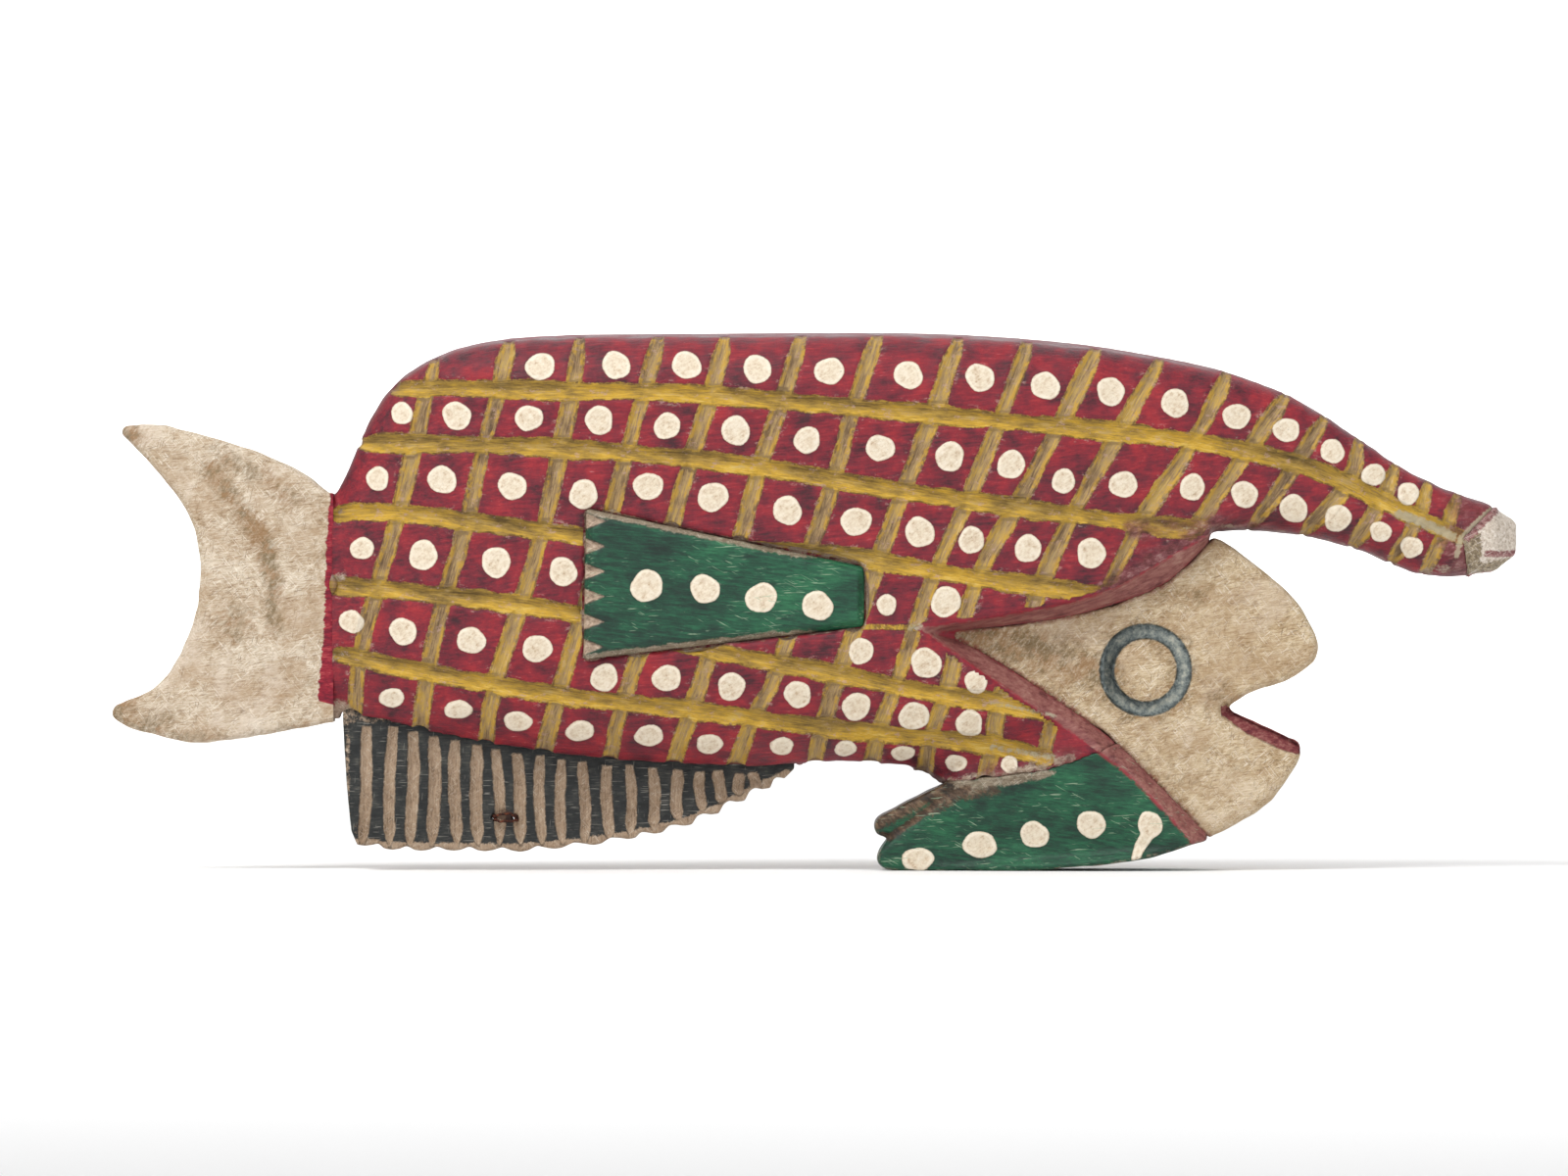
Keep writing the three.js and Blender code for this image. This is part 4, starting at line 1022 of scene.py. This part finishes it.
def pelvic_fin(side_name, seed):
    skin = Skin(f"pelvic_fin_{side_name}", f"green_pelvic_{side_name}", 0.9)
    joint = spline(PELVIC_JOINT)
    skin.relax(4, np.clip(skin.near(joint) / 4, 0.1, 1))
    facing = skin.facing()
    skin.lift(0.7 * smoothstep(1.6 - skin.near(joint), 0, 1.2) * (facing < 0.8))
    skin.push_out(JOINT_SWELL * bell(skin.near(joint), JOINT_SPREAD) * (facing > 0.5))
    x, z = skin.x, skin.z
    rng = np.random.default_rng(seed)
    facing = skin.facing()
    # a drip runs down from the last dab
    drip = distance([(136, 16), (132.6, 10), (130.4, 5)], x, z) - np.interp(z, [5, 12], [1.6, 2.6])
    inner = np.where((facing > 0.5) & (skin.out > 12), 0, HIDDEN)
    dot = np.minimum(dabs(PELVIC_DOTS, x, z, rng), drip) + inner
    # the groove that parts the upper ray from the fin
    cleft = distance([(24, 14), (30.6, 13.6), (45, 23.5), (54.4, 31.8)], x, z)
    skin.lift(-1.4 * bell(cleft, 2.2) * (facing > 0.5) * smoothstep(skin.out, 8, 12))
    hand = 0.25 * wobble(x, z, 22, 28) + 0.1 * wobble(x, z, 8, 29)
    skin.lift(hand + np.where(skin.out > 12, paint_film(dot), 0))
    lower_edge = spline([(26, 4), (32, 0.4), (82, 0), (119, 2.8), (154.8, 11)])
    worn = np.maximum.reduce([
        marks(x, z, bands=[(lower_edge, 1.4, 0.5)], spots=[(26, 0, 2.5, np.inf, 0.5)]),
        0.62 * bell(distance(joint, x, z), 2.6) * smoothstep(-x, -112, -88),
        0.74 * bell(distance([(58, 34), (72, 36), (97, 40)], x, z), np.interp(x, [60, 96], [5.4, 2.2])),
    ])
    brown = marks(x, z, bands=[
        ([(26, 20), (40, 27.5), (54, 34)], 5.5, 0.72),
        ([(50, 29), (62, 33)], 3, 0.8),
        ([(48, 24), (58, 30), (74, 33)], 3.6, 0.62),
    ])
    brown = np.maximum(brown, 0.8 * bell(cleft, 2.2))
    band = within(gill_outline(GILL_UPPER_EDGE, GILL_LOWER_EDGE), x, z)
    gill = np.where(facing > 0.12, band, FAR)
    bright = 0.4 * smoothstep(x, 60, 100)
    skin.paint(dot=dot, notch=0 * x + FAR, worn=worn, bright=bright, brown=brown, gill=gill)
    return skin.write(GREEN, "fin_green")


def from_eye(x, z, radius, half_width):
    """Signed distance to a ring round the eye."""
    return np.abs(np.hypot(x - EYE[0], z - EYE[1]) - radius) - half_width


def head():
    skin = Skin("head", "carved_head", 0.95)
    skin.relax(3, np.clip(from_eye(skin.x, skin.z, 16, 2.9) / 2 + 0.5, 0.25, 1))
    skin.relax(8, smoothstep(skin.x, 158, 175))
    x, z = skin.x, skin.z
    facing = skin.facing()
    lip_line = distance(spline(LOWER_LIP), x, z)
    in_lip = (z < np.interp(x, [168, 197.4], [67, 53.4])) & (x > 165)
    lip = np.where(in_lip, lip_line - np.interp(x, [168, 176, 190, 200], [3.5, 5.5, 6, 4.5]), 5.0)
    skin.push_out(np.where(in_lip & (facing > 0.3), -0.8 * np.clip(6.2 - lip_line, 0, 6.2), 0))
    skin.relax(2)
    hand = 0.35 * wobble(x, z, 34, 38) + 0.12 * wobble(x, z, 8, 39)
    skin.lift(hand * smoothstep(x, 50, 60))
    eye = from_eye(x, z, 15.8, 3.0)
    gill = np.minimum(distance(spline(GILL_UPPER_FOOT), x, z), distance(spline(GILL_LOWER_FOOT), x, z))
    # the head closes up against the bevelled band round it
    skin.lift(1.2 * smoothstep(1.8 - gill, 0, 1.4) * (facing < 0.8))
    stain = marks(x, z, bands=[([(62, 95), (90, 90), (118, 80)], 11, 1.15)], spots=[
        (166, 68, 12, 9, 0.75),
        (152, 112, 26, 14, 0.5),
        (160, 40, 24, 12, 0.45),
    ])
    # stains round the eye, and painted shade on the head along the foot of the gill band
    stain = np.maximum.reduce([stain, 0.66 * bell(np.clip(eye, 0, None), 5.5), 0.6 * bell(gill, 3.0)])
    skin.paint(eye=eye, lip=lip, gill=gill, stain=stain)
    return skin.write(HEAD, "bare_wood")


def tail():
    skin = Skin("tail", "carved_tail", 0.95)
    skin.relax(10, smoothstep(-skin.x, 198.5, 204))
    x, z = skin.x, skin.z
    shoulder = (x > REAR_X - 2.5) & (x < REAR_X + 1.1) & (z > 59) & (z < 154)
    skin.points[:, 0] = np.where(shoulder, np.minimum(x + 1.2, REAR_X + 0.25), x)
    x = skin.x
    facing = skin.facing()
    hand = 0.45 * wobble(x, z, 34, 48) + 0.15 * wobble(x, z, 9, 49)
    dish = 1.1 * marks(x, z, spots=[(-240, 122, 17, 34, 1)])
    skin.lift((hand - dish * (facing > 0.5)) * smoothstep(-x, 198, 206))
    stain = marks(x, z, bands=[
        ([(-247, 164), (-234, 148), (-225, 136), (-221, 120), (-219, 100)], 5.8, 0.95),
        ([(-240, 154), (-228, 141), (-221, 128), (-220, 106)], 2.4, 1.35),
        ([(-244, 170), (-224, 160), (-214, 150)], 6, 0.75),
        ([(-275, 56), (-235, 54), (-205, 60)], 4, 0.55),
    ], spots=[
        (-236, 100, 12, 11, 0.7),
        (-270, 58, 13, 8, 0.95),
        (-203, 0, 5, np.inf, 0.35),
    ])
    stain = np.maximum(stain, smoothstep(-x, 264, 282) * 0.9)
    # the body's red runs over onto the tail as far as this
    edge = np.interp(z, [60, 66, 69, 82, 100, 130, 156], [-188, -190, -202, -201, -199.4, -198.6, -196.6])
    skin.paint(stain=stain, spill=edge - x)
    return skin.write(TAIL, "bare_wood")


def rib_flute(i, x, z, rng):
    """Signed distance to one of the flutes between the rasp fin's ribs."""
    nudge = np.interp(i, [0, 1, 6, 9, 12, 15, 17, 18], [0.5, 2, 2, 1, 3, 5, 3, 0.7])
    centre = FIRST_RIB + RIB_PITCH * i + nudge
    lean = 2.2 - 4.4 * min(i / 7, 1) + (1.6 if i > 7 else 0)
    top = along(BELLY, centre) - level(SKIRT, centre) - rng.uniform(0, 1.5)
    top += np.interp(centre, [-185, -140, -60], [2.4, 1.2, 0])
    bottom = np.interp(centre, [-190, -95, -70, -10], [8.8, 10.4, 14.6, 38.5])
    share = np.clip((top - z) / (top - bottom), -0.2, 1.2)
    line = centre + lean * (0.5 - share) + 0.5 * np.sin(share * 5 + rng.uniform(0, 6))
    half = 2.5 * np.clip(1.2 - np.clip(share, 0, 1) ** 8, 0.3, 1) * np.clip(0.78 + share * 1.2, 0.6, 1)
    half = half * rng.uniform(0.86, 1.08) + 0.12 * np.sin(z * 0.45 + rng.uniform(0, 6))
    return np.maximum(np.abs(x - line) - half, np.maximum(z - top, bottom - z) * 0.7)


def rasp_fin():
    skin = Skin("rasp_fin", "fluted_rasp_fin", 0.75)
    x, z = skin.x, skin.z
    facing = skin.facing()
    on_face = (facing > 0.35) & (skin.out > 3.5) & (z < along(BELLY, x) + 2)
    rng = np.random.default_rng(5)
    flute = np.minimum.reduce([rib_flute(i, x, z, rng) for i in range(RIBS)] + [np.full(x.shape, FAR)])
    depth = 1.9 * np.clip(-flute / 2.3, 0, 1) ** 0.75
    skin.push_out(np.where(on_face, RASP_HALF - depth - skin.out, 0) * smoothstep(facing, 0.3, 0.6))
    skin.relax(1)
    from_rim = np.clip(z - level(SCALLOPS, x), 0, None)
    from_body = np.clip(along(BELLY, x) - z, 0, None)
    by_body = bell(from_body, np.interp(x, [-190, -130, -60], [3.6, 1.4, 0.6]))
    worn = np.maximum.reduce([
        bell(from_rim, 4.0),
        by_body * np.interp(x, [-180, -150], [0.5, 0.3]),
        marks(x, z, spots=[(-190, 0, 2, np.inf, 0.5), (-184, 17, 7, 5, 0.5)]),
    ])
    rust = marks(x, z, spots=[(-126, 22, 6, 4.5, 0.85)])
    skin.paint(flute=np.where(on_face, flute, FAR), worn=worn, rust=rust)
    return skin.write(RASP, "rasp")


def wire_loop(z, left, right, bow, rng):
    """The middle line of one turn of wire that passes through the fin twice, and its radius along it."""
    across = np.linspace(left + 1.8, right - 1.8, 4)
    near = [(x, 8.2 + rng.uniform(-0.2, 0.2), z + bow + rng.uniform(-0.3, 0.3)) for x in across]
    far = [(x, -8.1 + rng.uniform(-0.1, 0.2), z + bow + rng.uniform(-0.3, 0.3)) for x in across[::-1]]
    path = [(left, 0, z), (left, 6, z), (left + 0.4, 7.7, z)] + near
    path += [(right - 0.4, 7.7, z), (right, 6, z), (right, 0, z), (right, -6, z), (right - 0.4, -7.7, z)]
    path += far + [(left + 0.4, -7.7, z), (left, -6, z), (left, 0, z)]
    path = spline3(path, 5)
    return path, np.where(np.abs(path[:, 1]) < 6.4, 0.95, 0.46)


def rusty_wires():
    """Two turns of thin rusted wire through the rasp fin."""
    vertices, faces = [], []
    rng = np.random.default_rng(9)
    for z, left, right, bow in ((21.9, -130.3, -121.6, 0.8), (20.6, -129.8, -121.2, -0.7)):
        path, radii = wire_loop(z, left, right, bow, rng)
        ahead = np.gradient(path, axis=0)
        ahead /= np.linalg.norm(ahead, axis=1, keepdims=True)
        over = np.cross(ahead, (0, 0.3, 1.0))
        over /= np.linalg.norm(over, axis=1, keepdims=True)
        other = np.cross(ahead, over)
        start = len(vertices)
        for place, u, v, radius in zip(path, over, other, radii):
            for angle in np.arange(WIRE_SIDES) * 2 * np.pi / WIRE_SIDES:
                reach = radius * (1 + rng.uniform(-0.12, 0.12))
                spot = place + reach * (np.cos(angle) * u + np.sin(angle) * v)
                vertices.append((spot[0] * MM, -spot[1] * MM, spot[2] * MM))
        for i in range(len(path) - 1):
            for k in range(WIRE_SIDES):
                a, b = start + WIRE_SIDES * i + k, start + WIRE_SIDES * i + (k + 1) % WIRE_SIDES
                faces.append((a, b, b + WIRE_SIDES, a + WIRE_SIDES))
        faces.append(tuple(range(start, start + WIRE_SIDES)))
        faces.append(tuple(range(len(vertices) - WIRE_SIDES, len(vertices))))
    mesh = bpy.data.meshes.new("rusty_wires")
    mesh.from_pydata(vertices, [], faces)
    shade_smooth(mesh)
    mesh.materials.append(RUST)
    piece = add_object("rusty_wires", mesh)
    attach(piece, "root")
    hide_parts("wire_staple")


def knob():
    skin = Skin("handle_knob", "painted_knob", 0.6)
    skin.relax(26, np.clip(skin.near(COLLAR) / 3, 0.1, 1))
    facing = skin.facing()
    skin.lift(0.9 * smoothstep(1.8 - skin.near(COLLAR), 0, 1.2) * (facing < 0.85))
    x, z = skin.x, skin.z
    skin.lift(0.2 * wobble(x, z, 9, 58) + 0.1 * wobble(x, z, 4, 59))
    tan = marks(x, z, bands=[
        ([(268.6, 136), (268.8, 127), (269.5, 123)], 3.4, 0.95),
        ([(264.6, 135.4), (266.8, 119.4)], 2.4, 0.95),
        ([(267, 122.4), (275, 123), (284, 125.2)], 3.2, 0.855),
    ])
    red = marks(x, z, bands=[
        ([(266.2, 136.6), (272, 142.4), (278.6, 148.6)], 3.0, 0.95),
        ([(274, 129), (281, 128.8), (286.6, 129.4)], 1.7, 0.95),
        ([(266, 119), (282, 121)], 2.4, 0.76),
    ])
    skin.paint(tan=tan, red=red)
    return skin.write(KNOB, "white")


SCALES, GREEN, HEAD = scales_material(), green_material(), head_material()
TAIL, RASP, KNOB = tail_material(), rasp_material(), knob_material()
DOWEL, RUST = simple_wood_material(), rust_material()

for number, side_name in enumerate(("right", "left")):
    body_shell(side_name, 100 + number)
    pectoral_fin(side_name, 110 + number)
    pelvic_fin(side_name, 120 + number)
head()
tail()
rasp_fin()
knob()
rusty_wires()
for name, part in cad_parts.items():
    if "dowel" in name or name == "wire_staple":
        part.data.materials.clear()
        part.data.materials.append(RUST if name == "wire_staple" else DOWEL)


# ---------------------------------------------------------------- floor, light, camera
def plain_floor():
    mesh = bmesh.new()
    profile = [(-12.0, 0.0), (7.4, 0.0), (7.9, 0.05), (8.3, 0.2), (8.55, 0.5), (8.6, 1.0), (8.6, 7.0)]
    rows = [[mesh.verts.new((x, y, z)) for y, z in profile] for x in (-12.0, 12.0)]
    for i in range(len(profile) - 1):
        mesh.faces.new((rows[0][i], rows[1][i], rows[1][i + 1], rows[0][i + 1]))
    data = bpy.data.meshes.new("pale_floor")
    mesh.to_mesh(data)
    mesh.free()
    shade_smooth(data)
    p = Paint("pale_floor")
    data.materials.append(p.finish(rgb("F4F4F4"), 0.9, p.noise(40, 2), 0.01, 0.1))
    add_object("pale_floor", data)


def softbox(name, place, target, width, height, power):
    lamp = bpy.data.lights.new(name, "AREA")
    lamp.shape = "RECTANGLE"
    lamp.size, lamp.size_y, lamp.energy = width, height, power
    holder = add_object(name, lamp)
    holder.location = place
    holder.rotation_euler = (Vector(target) - Vector(place)).to_track_quat("-Z", "Y").to_euler()


plain_floor()
softbox("key", (-1.0, -1.2, 1.7), (0, 0, 0.1), 1.0, 0.8, 34)
softbox("fill", (1.5, -2.0, 0.8), (0, 0, 0.1), 1.8, 1.2, 13)
softbox("backdrop_light", (0, 6.2, 3.0), (0, 8.3, 0.3), 6.0, 1.4, 190)
softbox("floor_light", (0, 4.2, 3.6), (0, 4.2, 0), 6.0, 4.0, 125)
softbox("overhead", (0, -1.4, 3.0), (0, -1.4, 0), 3.0, 2.4, 26)
world = bpy.data.worlds.new("studio")
world.use_nodes = True
background = world.node_tree.nodes["Background"]
background.inputs["Color"].default_value = (1, 1, 1, 1)
background.inputs["Strength"].default_value = 0.48
bpy.context.scene.world = world
bpy.context.scene.view_settings.view_transform = "Standard"

# The camera stands far back, square to the flank, as in the photo. Metres, and mm for the sensor.
CAMERA_DISTANCE = 5.0
PICTURE_WIDTH = 0.64
SENSOR_WIDTH = 36
lens = bpy.data.cameras.new("camera")
lens.sensor_width = SENSOR_WIDTH
lens.lens = SENSOR_WIDTH * CAMERA_DISTANCE / PICTURE_WIDTH
lens.clip_end = 40
camera = add_object("camera", lens)
camera.location = (-0.0122, -CAMERA_DISTANCE, 0.115)
camera.rotation_euler = (np.pi / 2, 0, 0)
bpy.context.scene.camera = camera
